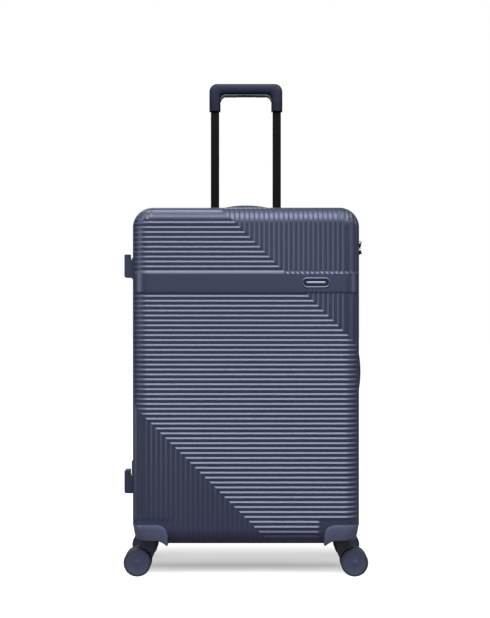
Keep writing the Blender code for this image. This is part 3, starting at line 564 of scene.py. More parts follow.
def housing_mesh(name, side, half):
    """A closed loop in plan, carried down rows. The loop runs along the panel, round the corner,
    back along the wall, and behind. The upper edge drops by a quarter circle at both ends, and
    the lower edge steps down to the skirt. Also gives the upper edge's path, for a dark bead of
    painted shade along it, and which way is out there."""
    low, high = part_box("wheel_housing_rear_right")
    inner_x, inner_y = low[0], low[1]
    floor, roof = 80 * MM, high[2]
    run = np.concatenate([np.linspace(0, 24, 13), [28, 32, 36]]) * MM
    bend = np.radians(np.linspace(90, 0, 10))
    reach = np.array([[239.0, 149.0], [236.0, 148.6], [231.5, 147.0]]) * MM
    radius = 30 * MM
    rings = []

    def loop(share, inset):
        """Plan at a share of the height from the top: the reach shrinks towards the bottom."""
        far_x = np.interp(share, [0, 0.6, 1], reach[:, 0]) - inset
        far_y = np.interp(share, [0, 0.6, 1], reach[:, 1]) - inset
        near_x, near_y = inner_x + inset, inner_y + inset
        panel = np.stack([near_x + run, np.full(len(run), far_y)], -1)
        round_part = radius * np.stack([np.cos(bend), np.sin(bend)], -1)
        turn = np.array([far_x - radius, far_y - radius]) + round_part
        wall = np.stack([np.full(len(run), far_x), near_y + run[::-1]], -1)
        behind = np.stack([np.linspace(far_x, near_x, 8), np.full(8, near_y)], -1)[1:]
        inside = np.stack([np.full(8, near_x), np.linspace(near_y, far_y, 8)], -1)[1:-1]
        return np.concatenate([panel, turn, wall, behind, inside])

    hidden = np.zeros(13)
    ends = np.concatenate([run, np.full(10, 1.0), run[::-1], hidden])
    corner = 20 * MM
    drop = corner - np.sqrt(np.maximum(corner**2 - (corner - np.minimum(ends, corner)) ** 2, 0))
    top = roof - drop
    step = 1 - np.clip(1 - ends / (22 * MM), 0, 1) ** 1.6
    depth = np.concatenate([step[:16], np.ones(10), np.ones(16), np.ones(7), np.zeros(6)])
    bottom = floor - (floor - 69.5 * MM) * (1 - depth)
    rows = [
        (0, 5 * MM, 0.0), (0, 1.2 * MM, 0.0), (0, 0.3 * MM, -0.5 * MM), (0, 0.0, -1.2 * MM),
        (0.35, 0, 0), (0.65, 0, 0), (0.9, 0, 0), (1, 0, 1.0 * MM), (1, 0.8 * MM, 0.0),
        (1, 2.6 * MM, 0.0), (1, 3.0 * MM, 2.5 * MM),
    ]
    for share, inset, lift in rows:
        plan = loop(share, inset)
        z = top + share * (bottom - top) + lift
        rings.append(np.stack([side * plan[:, 0], half * plan[:, 1], z], -1))
    under = loop(1, 5 * MM)
    under_z = np.full(len(under), floor + 2.5 * MM)
    rings.append(np.stack([side * under[:, 0], half * under[:, 1], under_z], -1))
    count = 2 * len(run) + len(bend)
    edge = loop(0, 1.3 * MM)[:count]
    seam = np.stack([side * edge[:, 0], half * edge[:, 1], top[:count] + 0.9 * MM], -1)
    outward = np.zeros((count, 3))
    outward[: len(run), 1] = half
    outward[len(run) : -len(run), :2] = np.stack([side * np.cos(bend), half * np.sin(bend)], -1)
    outward[-len(run) :, 0] = side
    return lofted(name, rings, 50), seam, outward


def bead(name, path, outward, thick):
    """A round bead along a path: a circle at each point, between the outward direction there and
    the direction square to it and to the path."""
    ahead = np.gradient(path, axis=0)
    ahead /= np.linalg.norm(ahead, axis=1)[:, None]
    across = np.cross(ahead, outward)
    angles = np.arange(10) * np.pi / 5
    sideways = np.cos(angles)[:, None] * across[:, None]
    lifted = np.sin(angles)[:, None] * outward[:, None]
    return lofted(name, path[:, None] + thick * (sideways + lifted), 60)


# A near-black bead along each housing's upper edge is painted shade: it stands in for the shadow in the gap
# between shell and housing, and is no rubber seal.
painted_shadow_black = satin_polycarbonate("painted_shadow_black", "#0c0d14", 0.7)
housing_abs = satin_polycarbonate("moulded_abs_housing", "#505570", 0.38)
for half_name, half, body in (("front", -1, "front_case"), ("rear", 1, "rear_case")):
    for side_name, side in (("left", -1), ("right", 1)):
        node = f"wheel_housing_{half_name}_{side_name}"
        moulding, seam, outward = housing_mesh(node, side, half)
        piece(node + "_moulding", moulding, housing_abs, body, "shell", node)
        # This bead is the painted shade along the housing's upper edge.
        painted_shadow_bead = bead(node + "_seal", seam, outward, 1.2 * MM)
        piece(node + "_seal", painted_shadow_bead, painted_shadow_black, body, "black_plastic")


# ---------------------------------------------------------------------------------------------
# Side feet: four moulded blocks on the left wall that the case lies on, each with a slot behind
# its upper end and a chamfered toe.


def extruded(name, outline, low, high, soft, flat_edges=35):
    """An outline in X and Z carried along Y, with its rim drawn in by a soft edge at both ends."""
    middle = outline.mean(0)
    shrink = 1 - soft / np.abs(outline - middle).max()
    rings = []
    for y, scale in ((low, shrink), (low + soft, 1), (high - soft, 1), (high, shrink)):
        flat = middle + (outline - middle) * scale
        rings.append(np.stack([flat[:, 0], np.full(len(flat), y), flat[:, 1]], -1))
    return lofted(name, rings, flat_edges)


def arc_points(centre, radius, start, end, steps):
    """Points on an arc between two angles in degrees."""
    angles = np.radians(np.linspace(start, end, steps))
    return np.asarray(centre) + radius * np.stack([np.cos(angles), np.sin(angles)], -1)


for half_name in ("front", "rear"):
    for level in ("upper", "lower"):
        node = f"side_foot_{half_name}_{level}"
        low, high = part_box(node)
        wall, reach, height = high[0], high[0] - low[0], high[2] - low[2]
        slot, slot_floor = 7.5 * MM, height - 11 * MM
        steps = np.concatenate([
            [[0, 0]],
            arc_points((reach - 4 * MM, 4 * MM), 4 * MM, -90, 0, 6),
            arc_points((reach - 3 * MM, height - 3 * MM), 3 * MM, 0, 90, 6),
            [[8.1 * MM, height], [slot, height - 0.6 * MM], [slot, slot_floor], [0, slot_floor]],
        ])
        outline = np.stack([wall - steps[:, 0], low[2] + steps[:, 1]], -1)
        block = extruded(node + "_block", outline, low[1], high[1], 1.2 * MM)
        piece(node + "_block", block, shell_finish, half_name + "_case", "shell", node)


# ---------------------------------------------------------------------------------------------
# Casters: a nylon fork on a steel stem turns under each housing. Two wheels run on one axle, each
# a dished plastic hub with a thin rubber tyre. The fork's hood reaches over both wheels.


def turned(name, profile, centre, axis, sides=64, whole=False, flat_edges=40):
    """A profile of (radius, place along the axis) turned about an axis through the centre."""
    profile = np.asarray(profile, float)
    angles = np.arange(sides) * 2 * np.pi / sides
    radius = np.maximum(profile[:, :1], 1e-5)
    u, v = radius * np.cos(angles), radius * np.sin(angles)
    w = np.broadcast_to(profile[:, 1:], u.shape)
    order = {"X": (w, u, v), "Y": (u, w, v), "Z": (u, v, w)}[axis]
    return lofted(name, np.stack(order, -1) + np.asarray(centre), flat_edges, whole)


def moulded_nylon(name, colour, roughness, grain_size):
    """Injection-moulded nylon or ABS: an even matt grain from the mould, and a slightly uneven
    gloss where it has been handled."""
    made, tree, shader = new_material(name)
    place = add_node(tree, "TexCoord").outputs["Object"]
    cloud = add_node(tree, "TexNoise", {"Vector": place}, {"Scale": 25.0, "Detail": 4.0})
    two_tones(tree, shader, cloud.outputs["Fac"], colour, 0.88, 1.12)
    uneven_gloss(tree, shader, cloud.outputs["Fac"], roughness - 0.06, roughness + 0.08)
    grain = add_node(tree, "TexNoise", {"Vector": place}, {"Scale": 1 / grain_size, "Detail": 2.0})
    relief(tree, shader, {"Height": grain.outputs["Fac"]}, 0.25, 0.0002)
    return made


fork_nylon = moulded_nylon("navy_nylon", "#2c3044", 0.42, 0.5 * MM)
tyre_rubber = moulded_nylon("tyre_rubber", "#2c2f3a", 0.62, 0.4 * MM)
hub_plastic = moulded_nylon("hub_plastic", "#454962", 0.40, 0.6 * MM)
WHEEL_RADIUS = 29 * MM


def join_meshes(name, parts):
    """One mesh of several closed ones, each kept as it is."""
    work = bmesh.new()
    for part in parts:
        work.from_mesh(part)
    whole = bpy.data.meshes.new(name)
    work.to_mesh(whole)
    work.free()
    whole.set_sharp_from_angle(angle=np.radians(35))
    return whole


def fork_mesh(name, stem, side):
    """Swivel plate, hood and leg. The hood's lower edge is an arc about the axle, clear of the
    wheels, and the leg runs down between them to the axle's boss."""
    x, y = stem
    hub = np.array([22 * MM, WHEEL_RADIUS])
    plate_line = np.array([(0, 79.6), (15.5, 79.6), (16.5, 78.8), (16.5, 76), (13, 73), (0, 73)]) * MM
    plate = turned(name, plate_line, (x, y, 0), "Z", 40)
    arch = arc_points(hub, WHEEL_RADIUS + 2.6 * MM, 104, 166, 12)
    hood_back = np.array([[-11.5, 42], [-14.8, 52], [-15.5, 75], [14.3, 75]]) * MM
    hood_line = np.concatenate([arch, hood_back])
    hood_line = np.stack([x + side * hood_line[:, 0], hood_line[:, 1]], -1)
    hood = extruded(name, hood_line, y - 13 * MM, y + 13 * MM, 1.5 * MM)
    boss = arc_points(hub, 8.5 * MM, 200, 380, 16)
    leg_top = np.array([[23, 56], [14, 70], [-8, 70], [-4, 50]]) * MM
    leg_line = np.concatenate([boss, leg_top])
    leg_line = np.stack([x + side * leg_line[:, 0], leg_line[:, 1]], -1)
    leg = extruded(name, leg_line, y - 4.8 * MM, y + 4.8 * MM, 0.8 * MM)
    return join_meshes(name, [plate, hood, leg])


def tyre_profile(face):
    """Closed section of a tyre: a flat tread with rounded shoulders on a thin side wall."""
    inner, outer, tread = 6.4 * MM, 22 * MM, WHEEL_RADIUS
    shoulder = arc_points((tread - 1.8 * MM, outer - 1.8 * MM), 1.8 * MM, 0, 90, 6)
    near = arc_points((tread - 2 * MM, inner + 2 * MM), 2 * MM, -90, 0, 5)
    section = np.concatenate([[[26 * MM, inner]], near, shoulder, [[26 * MM, outer - 0.2 * MM]]])
    return section * np.array([1, face])


def hub_profile(face):
    """Half section of one hub: dished outer face with a rim step, a small cap, and its bore side."""
    outer, inner = 21.4 * MM, 6.6 * MM
    section = np.array([
        [0, outer + 0.1 * MM], [5 * MM, outer], [5.6 * MM, outer - 0.6 * MM], [12 * MM, outer - 1.2 * MM],
        [20 * MM, outer - 0.5 * MM], [24.8 * MM, outer + 0.1 * MM], [25.8 * MM, outer - 0.7 * MM],
        [25.8 * MM, inner + 0.5 * MM], [25.2 * MM, inner], [9 * MM, inner], [8.5 * MM, inner + 1 * MM],
        [0, inner + 1 * MM],
    ])
    return section * np.array([1, face])


for half_name, half in (("front", -1), ("rear", 1)):
    for side_name, side in (("left", -1), ("right", 1)):
        corner = f"{half_name}_{side_name}"
        stem = (side * 208 * MM, half * 100 * MM)
        hub = (stem[0] + side * 22 * MM, stem[1], WHEEL_RADIUS)
        fork = "caster_fork_" + corner
        piece(fork + "_moulding", fork_mesh(fork, stem, side), fork_nylon, fork, "black_plastic", fork)
        wheel = "wheel_" + corner
        hubs = [turned("hub", hub_profile(face), hub, "Y") for face in (-1, 1)]
        axle_line = np.array([(0, -8), (3.9, -8), (3.9, 8), (0, 8)]) * MM
        axle = turned("axle", axle_line, hub, "Y", 24)
        core = join_meshes("hubs_" + corner, [*hubs, axle])
        piece(core.name, core, hub_plastic, wheel, "grey_plastic", "wheel_core_" + corner)
        tyres = [turned("tyre", tyre_profile(face), hub, "Y", 72, True) for face in (-1, 1)]
        pair = join_meshes("tyres_" + corner, tyres)
        stood_for = ("tyre_near_" + corner, "tyre_far_" + corner)
        piece(pair.name, pair, tyre_rubber, wheel, "tyre", *stood_for)


# ---------------------------------------------------------------------------------------------
# Telescopic handle: two black anodised aluminium poles in a moulded grip, over a recess in the
# rear shell. The grip's bar and legs are one moulding, with a lighter cover under the bar.


def anodised_aluminium(name, colour, roughness):
    """Anodised drawn tube: a dark dyed skin with faint lengthwise die lines about 0.7 mm apart."""
    made, tree, shader = new_material(name)
    place = add_node(tree, "TexCoord").outputs["Object"]
    squeezed = add_node(tree, "Mapping", {"Vector": place}, {"Scale": (1400, 1400, 2)})
    lines = add_node(tree, "TexNoise", {"Vector": squeezed.outputs["Vector"]}, {"Scale": 1.0, "Detail": 2.0})
    uneven_gloss(tree, shader, lines.outputs["Fac"], roughness - 0.08, roughness + 0.1)
    relief(tree, shader, {"Height": lines.outputs["Fac"]}, 0.1, 0.00005)
    shader.inputs["Base Color"].default_value = linear(colour)
    shader.inputs["Metallic"].default_value = 0.1
    shader.inputs["Specular IOR Level"].default_value = 0.1
    return made


def repaint(node, material):
    """Gives a CAD node its material."""
    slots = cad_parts[node].material_slots
    for slot in slots:
        slot.material = material
    if not slots:
        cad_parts[node].data.materials.append(material)


black_tube = anodised_aluminium("black_anodised_tube", "#070708", 0.38)
plain_tube = anodised_aluminium("mill_finish_tube", "#b9bac0", 0.35)
black_abs = moulded_nylon("black_abs", "#1b1c22", 0.45, 0.5 * MM)
for side_name in ("left", "right"):
    repaint("pole_" + side_name, black_tube)
    repaint("outer_tube_" + side_name, plain_tube)
    repaint("pole_end_plug_" + side_name, black_abs)
repaint("trolley_bezel", black_abs)
repaint("trolley_bottom_bracket", black_abs)


def navy_grip(name):
    """Soft-touch painted ABS, dark navy, a shade bluer on the sleeves below the legs' seam."""
    made, tree, shader = new_material(name)
    place = add_node(tree, "TexCoord").outputs["Object"]
    split = add_node(tree, "SeparateXYZ", {"Vector": place})
    seam = {"From Min": 1.040, "From Max": 1.050}
    above = add_node(tree, "MapRange", {"Value": split.outputs["Z"]}, seam)
    tone = add_node(tree, "ValToRGB", {"Fac": above.outputs["Result"]})
    tone.color_ramp.elements[0].color = linear("#080d24")
    tone.color_ramp.elements[1].color = linear("#141a30")
    tree.links.new(tone.outputs["Color"], shader.inputs["Base Color"])
    rub = add_node(tree, "TexNoise", {"Vector": place}, {"Scale": 70.0, "Detail": 4.0})
    uneven_gloss(tree, shader, rub.outputs["Fac"], 0.44, 0.54)
    shader.inputs["Specular IOR Level"].default_value = 0.2
    grain = add_node(tree, "TexNoise", {"Vector": place}, {"Scale": 2200.0, "Detail": 1.0})
    relief(tree, shader, {"Height": grain.outputs["Fac"]}, 0.15, 0.0001)
    return made


def banded(name, outer, inner, half_depth, middle_y, power, across=20):
    """A bar between an outer and an inner curve in X and Z. Each section is a superellipse: its
    half axes are half the distance between the curves, and the half depth along Y."""
    outer, inner = np.asarray(outer), np.asarray(inner)
    middle, reach = (outer + inner) / 2, (outer - inner) / 2
    angles = np.arange(across) * 2 * np.pi / across
    round_u = np.sign(np.cos(angles)) * np.abs(np.cos(angles)) ** (2 / power)
    round_v = np.sign(np.sin(angles)) * np.abs(np.sin(angles)) ** (2 / power)
    flat = middle[:, None] + reach[:, None] * round_u[None, :, None]
    depth = np.broadcast_to(half_depth, len(middle))[:, None] * round_v
    return lofted(name, np.stack([flat[..., 0], middle_y + depth, flat[..., 1]], -1), 60)


grip_low, grip_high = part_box("grip")
grip_half, grip_y = grip_high[0], (grip_low[1] + grip_high[1]) / 2
leg_end, grip_top = grip_low[2], grip_high[2]
LEG_WIDTH = 25.8 * MM
BAR_HEIGHT = 24.8 * MM
bar_under = grip_top - BAR_HEIGHT
inner_half = grip_half - LEG_WIDTH


def grip_curves():
    """Outer and inner outline of the grip, point for point: leg, corner arc, bar, and mirrored."""
    rise = np.linspace(0, 1, 9)[:, None]
    outer_leg = np.array([grip_half, leg_end]) + rise * np.array([0, grip_top - 18 * MM - leg_end])
    inner_leg = np.array([inner_half, leg_end]) + rise * np.array([0, bar_under - 13 * MM - leg_end])
    outer_bend = arc_points((grip_half - 18 * MM, grip_top - 18 * MM), 18 * MM, 0, 90, 12)
    inner_bend = arc_points((inner_half - 13 * MM, bar_under - 13 * MM), 13 * MM, 0, 90, 12)
    across = np.linspace(1, 0, 12)[1:, None]
    outer_bar = np.concatenate([across * (grip_half - 18 * MM), np.full((11, 1), grip_top)], -1)
    inner_bar = np.concatenate([across * (inner_half - 13 * MM), np.full((11, 1), bar_under)], -1)
    curves = []
    for parts in ((outer_leg, outer_bend[1:], outer_bar), (inner_leg, inner_bend[1:], inner_bar)):
        half_line = np.concatenate(parts)
        curves.append(np.concatenate([half_line, half_line[-2::-1] * [-1, 1]]))
    return curves


grip_finish = navy_grip("soft_touch_navy")
outer, inner = grip_curves()
grip_mesh = banded("grip_moulding", outer, inner, 14 * MM, grip_y, 3.6, 28)
piece("grip_moulding", grip_mesh, grip_finish, "trolley", "navy_plastic", "grip")
liner_finish = moulded_nylon("pale_grey_abs", "#3c4045", 0.45, 0.5 * MM)
repaint("grip_underside", liner_finish)
repaint("release_button", liner_finish)
cover_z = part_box("release_button")[0][2]
button_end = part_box("release_button")[1][0] + 0.8 * MM
for side_name, side in (("left", -1), ("right", 1)):
    # One strip along half of the bar and round the corner, thinning out down the leg.
    centre = np.array([inner_half - 13 * MM, bar_under - 13 * MM])
    along = np.linspace(button_end, centre[0], 6)[:-1]
    thinning = np.interp(np.arange(14), [0, 7, 13], [bar_under - cover_z, 3.2 * MM, 1.2 * MM])
    over_bar = np.stack([along, np.full(5, bar_under + 0.2 * MM)], -1)
    under_bar = np.stack([along, np.full(5, cover_z)], -1)
    over = np.concatenate([over_bar, arc_points(centre, 13.2 * MM, 90, -8, 14)])
    under = np.concatenate([under_bar, arc_points(centre, 1.0, 90, -8, 14)])
    under[5:] = centre + (under[5:] - centre) * (13 * MM - thinning)[:, None]
    liner = banded("grip_liner_" + side_name, over * [side, 1], under * [side, 1], 11 * MM, grip_y, 8, 16)
    piece("grip_liner_" + side_name, liner, liner_finish, "trolley", "grey_plastic")
    head = [(0, 0.5), (3.3, 0.5), (3.3, -0.5), (2.6, -0.9), (1.3, -0.9), (1.1, 0.1), (0, 0.1)]
    screw = turned("grip_screw", np.array(head) * MM, (side * 39.5 * MM, grip_y, cover_z), "Z", 24)
    piece("grip_screw_" + side_name, screw, black_tube, "trolley", "pole")


# ---------------------------------------------------------------------------------------------
# Carry handles: a soft-covered bow on the top and one on the right side. Their lugs slide in
# collars, so that a pull lifts the bow off the case.


def bow_curves():
    """Outer and inner side views of a bow, as (along, height over the wall): two arcs about one
    centre, and at each end a bend down into the lug."""
    span, rise, radius, thick = 76 * MM, 18.6 * MM, 250 * MM, 6 * MM
    centre = (0, rise - radius)
    spread = np.degrees(np.arcsin((span - 3 * MM) / radius))
    inner_spread = np.degrees(np.arcsin((span - 11 * MM) / (radius - thick)))
    upper = arc_points(centre, radius, 90 - spread, 90 + spread, 33)
    swell = 1.6 * MM * np.cos(np.linspace(-np.pi / 2, np.pi / 2, 33)) ** 0.5
    lower = arc_points(centre, radius - thick, 90 - inner_spread, 90 + inner_spread, 33)
    lower[:, 1] -= swell
    drop = np.array([[0, -15 * MM], [0, -8 * MM], [0, -2 * MM], [0, 2 * MM], [0, 5 * MM]])
    outer_lug = np.array([span, 0]) + drop
    inner_lug = np.array([span - 10 * MM, 0]) + drop * [1, 0.8]
    flip = np.array([-1, 1])
    outer = np.concatenate([outer_lug, upper, (outer_lug * flip)[::-1]])
    inner = np.concatenate([inner_lug, lower, (inner_lug * flip)[::-1]])
    return outer, inner


handle_finish = moulded_nylon("navy_soft_cover", "#161c3a", 0.62, 0.6 * MM)
carry_low, carry_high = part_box("top_carry_handle")
carry_y = (carry_low[1] + carry_high[1]) / 2
outer, inner = bow_curves()
swell = np.clip(1.5 - 1.6 * np.abs(np.linspace(-1, 1, 33)), 0, 1)
widths = np.concatenate([np.full(5, 7.0), 7 + 3.5 * swell, np.full(5, 7.0)]) * MM
top_bow = banded("top_carry_bow", outer + [0, CASE_TOP], inner + [0, CASE_TOP], widths, carry_y, 3, 18)
piece("top_carry_bow", top_bow, handle_finish, "top_carry_handle", "navy_plastic", "top_carry_handle")
side_low, side_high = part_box("side_carry_handle")
side_z = (side_low[2] + side_high[2]) / 2
outer, inner = outer[:, ::-1] + [HALF_WIDTH, side_z], inner[:, ::-1] + [HALF_WIDTH, side_z]
side_bow = banded("side_carry_bow", outer, inner, widths, carry_y, 3, 18)
piece("side_carry_bow", side_bow, handle_finish, "side_carry_handle", "navy_plastic", "side_carry_handle")
for mount in ("top_handle_mount_left", "top_handle_mount_right"):
    repaint(mount, handle_finish)
for mount in ("side_handle_mount_lower", "side_handle_mount_upper"):
    repaint(mount, handle_finish)


# ---------------------------------------------------------------------------------------------
# Zip: two woven tapes with a spiral coil along each, which mesh in the middle. Two die-cast
# sliders meet at the lock, each with a ring and a pull tab.


def woven_tape(name, colour):
    """Polyester tape in a tight herringbone, threads about 0.5 mm apart, drawn at 1 mm."""
    made, tree, shader = new_material(name)
    place = add_node(tree, "TexCoord").outputs["Object"]
    twill = {"Scale": 160.0, "Distortion": 2.0}
    weave = add_node(tree, "TexWave", {"Vector": place}, twill, bands_direction="DIAGONAL")
    relief(tree, shader, {"Height": weave.outputs["Fac"]}, 0.5, 0.0003)
    two_tones(tree, shader, weave.outputs["Fac"], colour, 0.6, 1.3)
    shader.inputs["Roughness"].default_value = 0.85
    shader.inputs["Sheen Weight"].default_value = 0.3
    return made


def outline_ring(inset, y, steps=14):
    """The case's rounded outline at one depth, drawn in all round by an inset."""
    half_height = (CASE_TOP - CASE_BOTTOM) / 2
    flat = rounded_outline(HALF_WIDTH - inset, half_height - inset, OUTLINE_RADIUS - inset, steps)
    up = flat[:, 1] + (CASE_TOP + CASE_BOTTOM) / 2
    return np.stack([flat[:, 0], np.full(len(flat), y), up], -1)


# The tape's section, as (inset, y): its outside from the shell's inner wall to the coil, and back.
TAPE_SECTION = [
    (2.5, 12), (2.5, 5.6), (1.9, 4.6), (1.7, 1.2), (2.0, 0.5), (2.7, 0.5), (2.8, 4.4), (3.3, 5.8), (3.3, 12),
]
tape_finish = woven_tape("polyester_tape", "#1d1f2c")
for half_name, half in (("front", -1), ("rear", 1)):
    tape_rings = [outline_ring(inset * MM, half * y * MM) for inset, y in TAPE_SECTION]
    tape = lofted(f"zip_tape_{half_name}_woven", tape_rings, 50, whole=True)
    tape = piece(tape.name, tape, tape_finish, half_name + "_case", "zip_tape", "zip_tape_" + half_name)


def coil_path(inset):
    """The case's rounded outline as evenly spaced points and outward directions."""
    half_height = (CASE_TOP - CASE_BOTTOM) / 2
    loop = rounded_outline(HALF_WIDTH - inset, half_height - inset, OUTLINE_RADIUS - inset, 59)
    loop = np.concatenate([loop, loop[:1]])
    steps = np.concatenate([[0], np.cumsum(np.hypot(*np.diff(loop, axis=0).T))])
    count = int(steps[-1] / (3 * MM)) * 4
    even = np.arange(count) / count * steps[-1]
    flat = np.stack([np.interp(even, steps, loop[:, 0]), np.interp(even, steps, loop[:, 1])], -1)
    ahead = np.roll(flat, -1, 0) - np.roll(flat, 1, 0)
    ahead /= np.hypot(*ahead.T)[:, None]
    return flat, np.stack([ahead[:, 1], -ahead[:, 0]], -1)


flat, outward = coil_path(1.2 * MM)
middle_z = (CASE_TOP + CASE_BOTTOM) / 2
for half_name, y, shift in (("front", -1.15 * MM, 0), ("rear", 1.15 * MM, 2)):
    phase = (np.arange(len(flat)) + shift) % 4
    thick = np.array([1.25, 0.95, 0.6, 0.95])[phase] * MM
    angles = np.arange(6) * np.pi / 3
    wide = thick[:, None] * np.cos(angles)
    deep = thick[:, None] * np.sin(angles) * 0.85
    xz = flat[:, None] + outward[:, None] * wide[..., None]
    turns = np.stack([xz[..., 0], y + deep, xz[..., 1] + middle_z], -1)
    coil = lofted("zip_coil_" + half_name, turns, 60, whole=True)
    piece(coil.name, coil, fork_nylon, half_name + "_case", "zip_tape")

slider_metal = plated_metal("gunmetal_zinc", "#3a2c33", 0.34)


def ring_mesh(name, centre, radius, thick):
    """A round ring in the XZ plane: a small circle turned about the Y axis."""
    section = arc_points((radius, 0), thick, 0, 330, 12)
    return turned(name, section, centre, "Y", 28, True, 60)


def rod(name, path, thick):
    """A round rod through points in the XZ plane: a circle at each point, square to the path."""
    path = np.asarray(path, float)
    ahead = np.gradient(path, axis=0)
    ahead /= np.hypot(ahead[:, 0], ahead[:, 2])[:, None]
    across = np.stack([ahead[:, 2], np.zeros(len(path)), -ahead[:, 0]], -1)
    angles = np.arange(12) * np.pi / 6
    wide = np.asarray(thick)[:, None, None]
    sideways = np.cos(angles)[:, None] * across[:, None]
    deeper = np.sin(angles)[:, None] * [0, 1, 0]
    return lofted(name, path[:, None] + wide * (sideways + deeper), 60)


for level in ("upper", "lower"):
    node = "zip_pull_" + level
    low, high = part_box(node)
    x, z = low[0] + 2.7 * MM, (low[2] + high[2]) / 2
    tab_line = rounded_outline(1.3 * MM, 4.2 * MM, 1.1 * MM, 4) + [high[0] - 1.6 * MM, z]
    parts = [extruded(node, tab_line, 1 * MM, high[1], 0.5 * MM)]
    if level == "upper":
        parts.append(ring_mesh(node, (x, 0, z + 4.4 * MM), 2.8 * MM, 0.9 * MM))
        stem = np.array([(0, 0, 2.4), (-0.2, 0, -1), (-0.8, 0, -5), (0, 0, -9)]) * MM + [x, 0, z]
        parts.append(rod(node, stem, np.array([1.5, 1.9, 1.5, 1.2]) * MM))
    else:
        for spread, drop in ((3.4 * MM, 4.6 * MM), (-1.9 * MM, 6.2 * MM)):
            prong = [(0, 0, 5 * MM), (0, 0, 2 * MM), (spread * 0.7, 0, -drop * 0.4), (spread, 0, -drop)]
            prong = np.array(prong) + [x, 0, z]
            parts.append(rod(node, prong, np.array([1.1, 1.9, 1.3, 1.0]) * MM))
    piece(node + "_ring_and_tab", join_meshes(node, parts), slider_metal, node, "bright_metal", node)
    repaint("zip_slider_" + level, slider_metal)


# ---------------------------------------------------------------------------------------------
# Lock: a moulded ABS body on the rear shell's right wall, with three dials and a push button of
# plated zinc. The dials carry no digits.

repaint("lock_housing", black_abs)
repaint("lock_button", bright_plate)
for i in (1, 2, 3):
    repaint(f"lock_dial_{i}", slider_metal)


# ---------------------------------------------------------------------------------------------
# Linings: woven polyester trays inside both halves, drawn over the wheel housings and stitched
# to the shells' rims by a flange.


def woven_lining(name, colour):
    """Polyester lining in a plain weave: threads 0.4 mm apart, drawn at 1.2 mm, with soft sheen
    and the broad unevenness of stretched cloth."""
    made, tree, shader = new_material(name)
    place = add_node(tree, "TexCoord").outputs["Object"]
    warp = add_node(tree, "TexWave", {"Vector": place}, {"Scale": 130.0}, bands_direction="X")
    weft = add_node(tree, "TexWave", {"Vector": place}, {"Scale": 130.0}, bands_direction="Z")
    both = add_node(tree, "Math", {0: warp.outputs["Fac"], 1: weft.outputs["Fac"]}, operation="MULTIPLY")
    slack = add_node(tree, "TexNoise", {"Vector": place}, {"Scale": 9.0, "Detail": 3.0})
    folds = add_node(tree, "Bump", {"Height": slack.outputs["Fac"]}, {"Strength": 0.6, "Distance": 0.006})
    threads = both.outputs["Value"]
    relief(tree, shader, {"Height": threads, "Normal": folds.outputs["Normal"]}, 0.35, 0.0003)
    two_tones(tree, shader, threads, colour, 0.75, 1.15)
    shader.inputs["Roughness"].default_value = 0.8
    shader.inputs["Sheen Weight"].default_value = 0.4
    return made


def lining_outline(half_width, low, high, radius, y):
    """A rounded rectangle at one depth with evenly spread points, from the right side upwards."""
    middle = (low + high) / 2
    around = rounded_outline(half_width, (high - low) / 2, radius, 8).reshape(4, 9, 2)
    sides = []
    for i, bend in enumerate(around):
        after = around[(i + 1) % 4][0]
        count = 70 if i % 2 == 0 else 100
        straight = bend[-1] + np.linspace(0, 1, count + 1)[1:-1, None] * (after - bend[-1])
        sides += [bend, straight]
    flat = np.concatenate(sides)
    return np.stack([flat[:, 0], np.full(len(flat), y), flat[:, 1] + middle], -1)


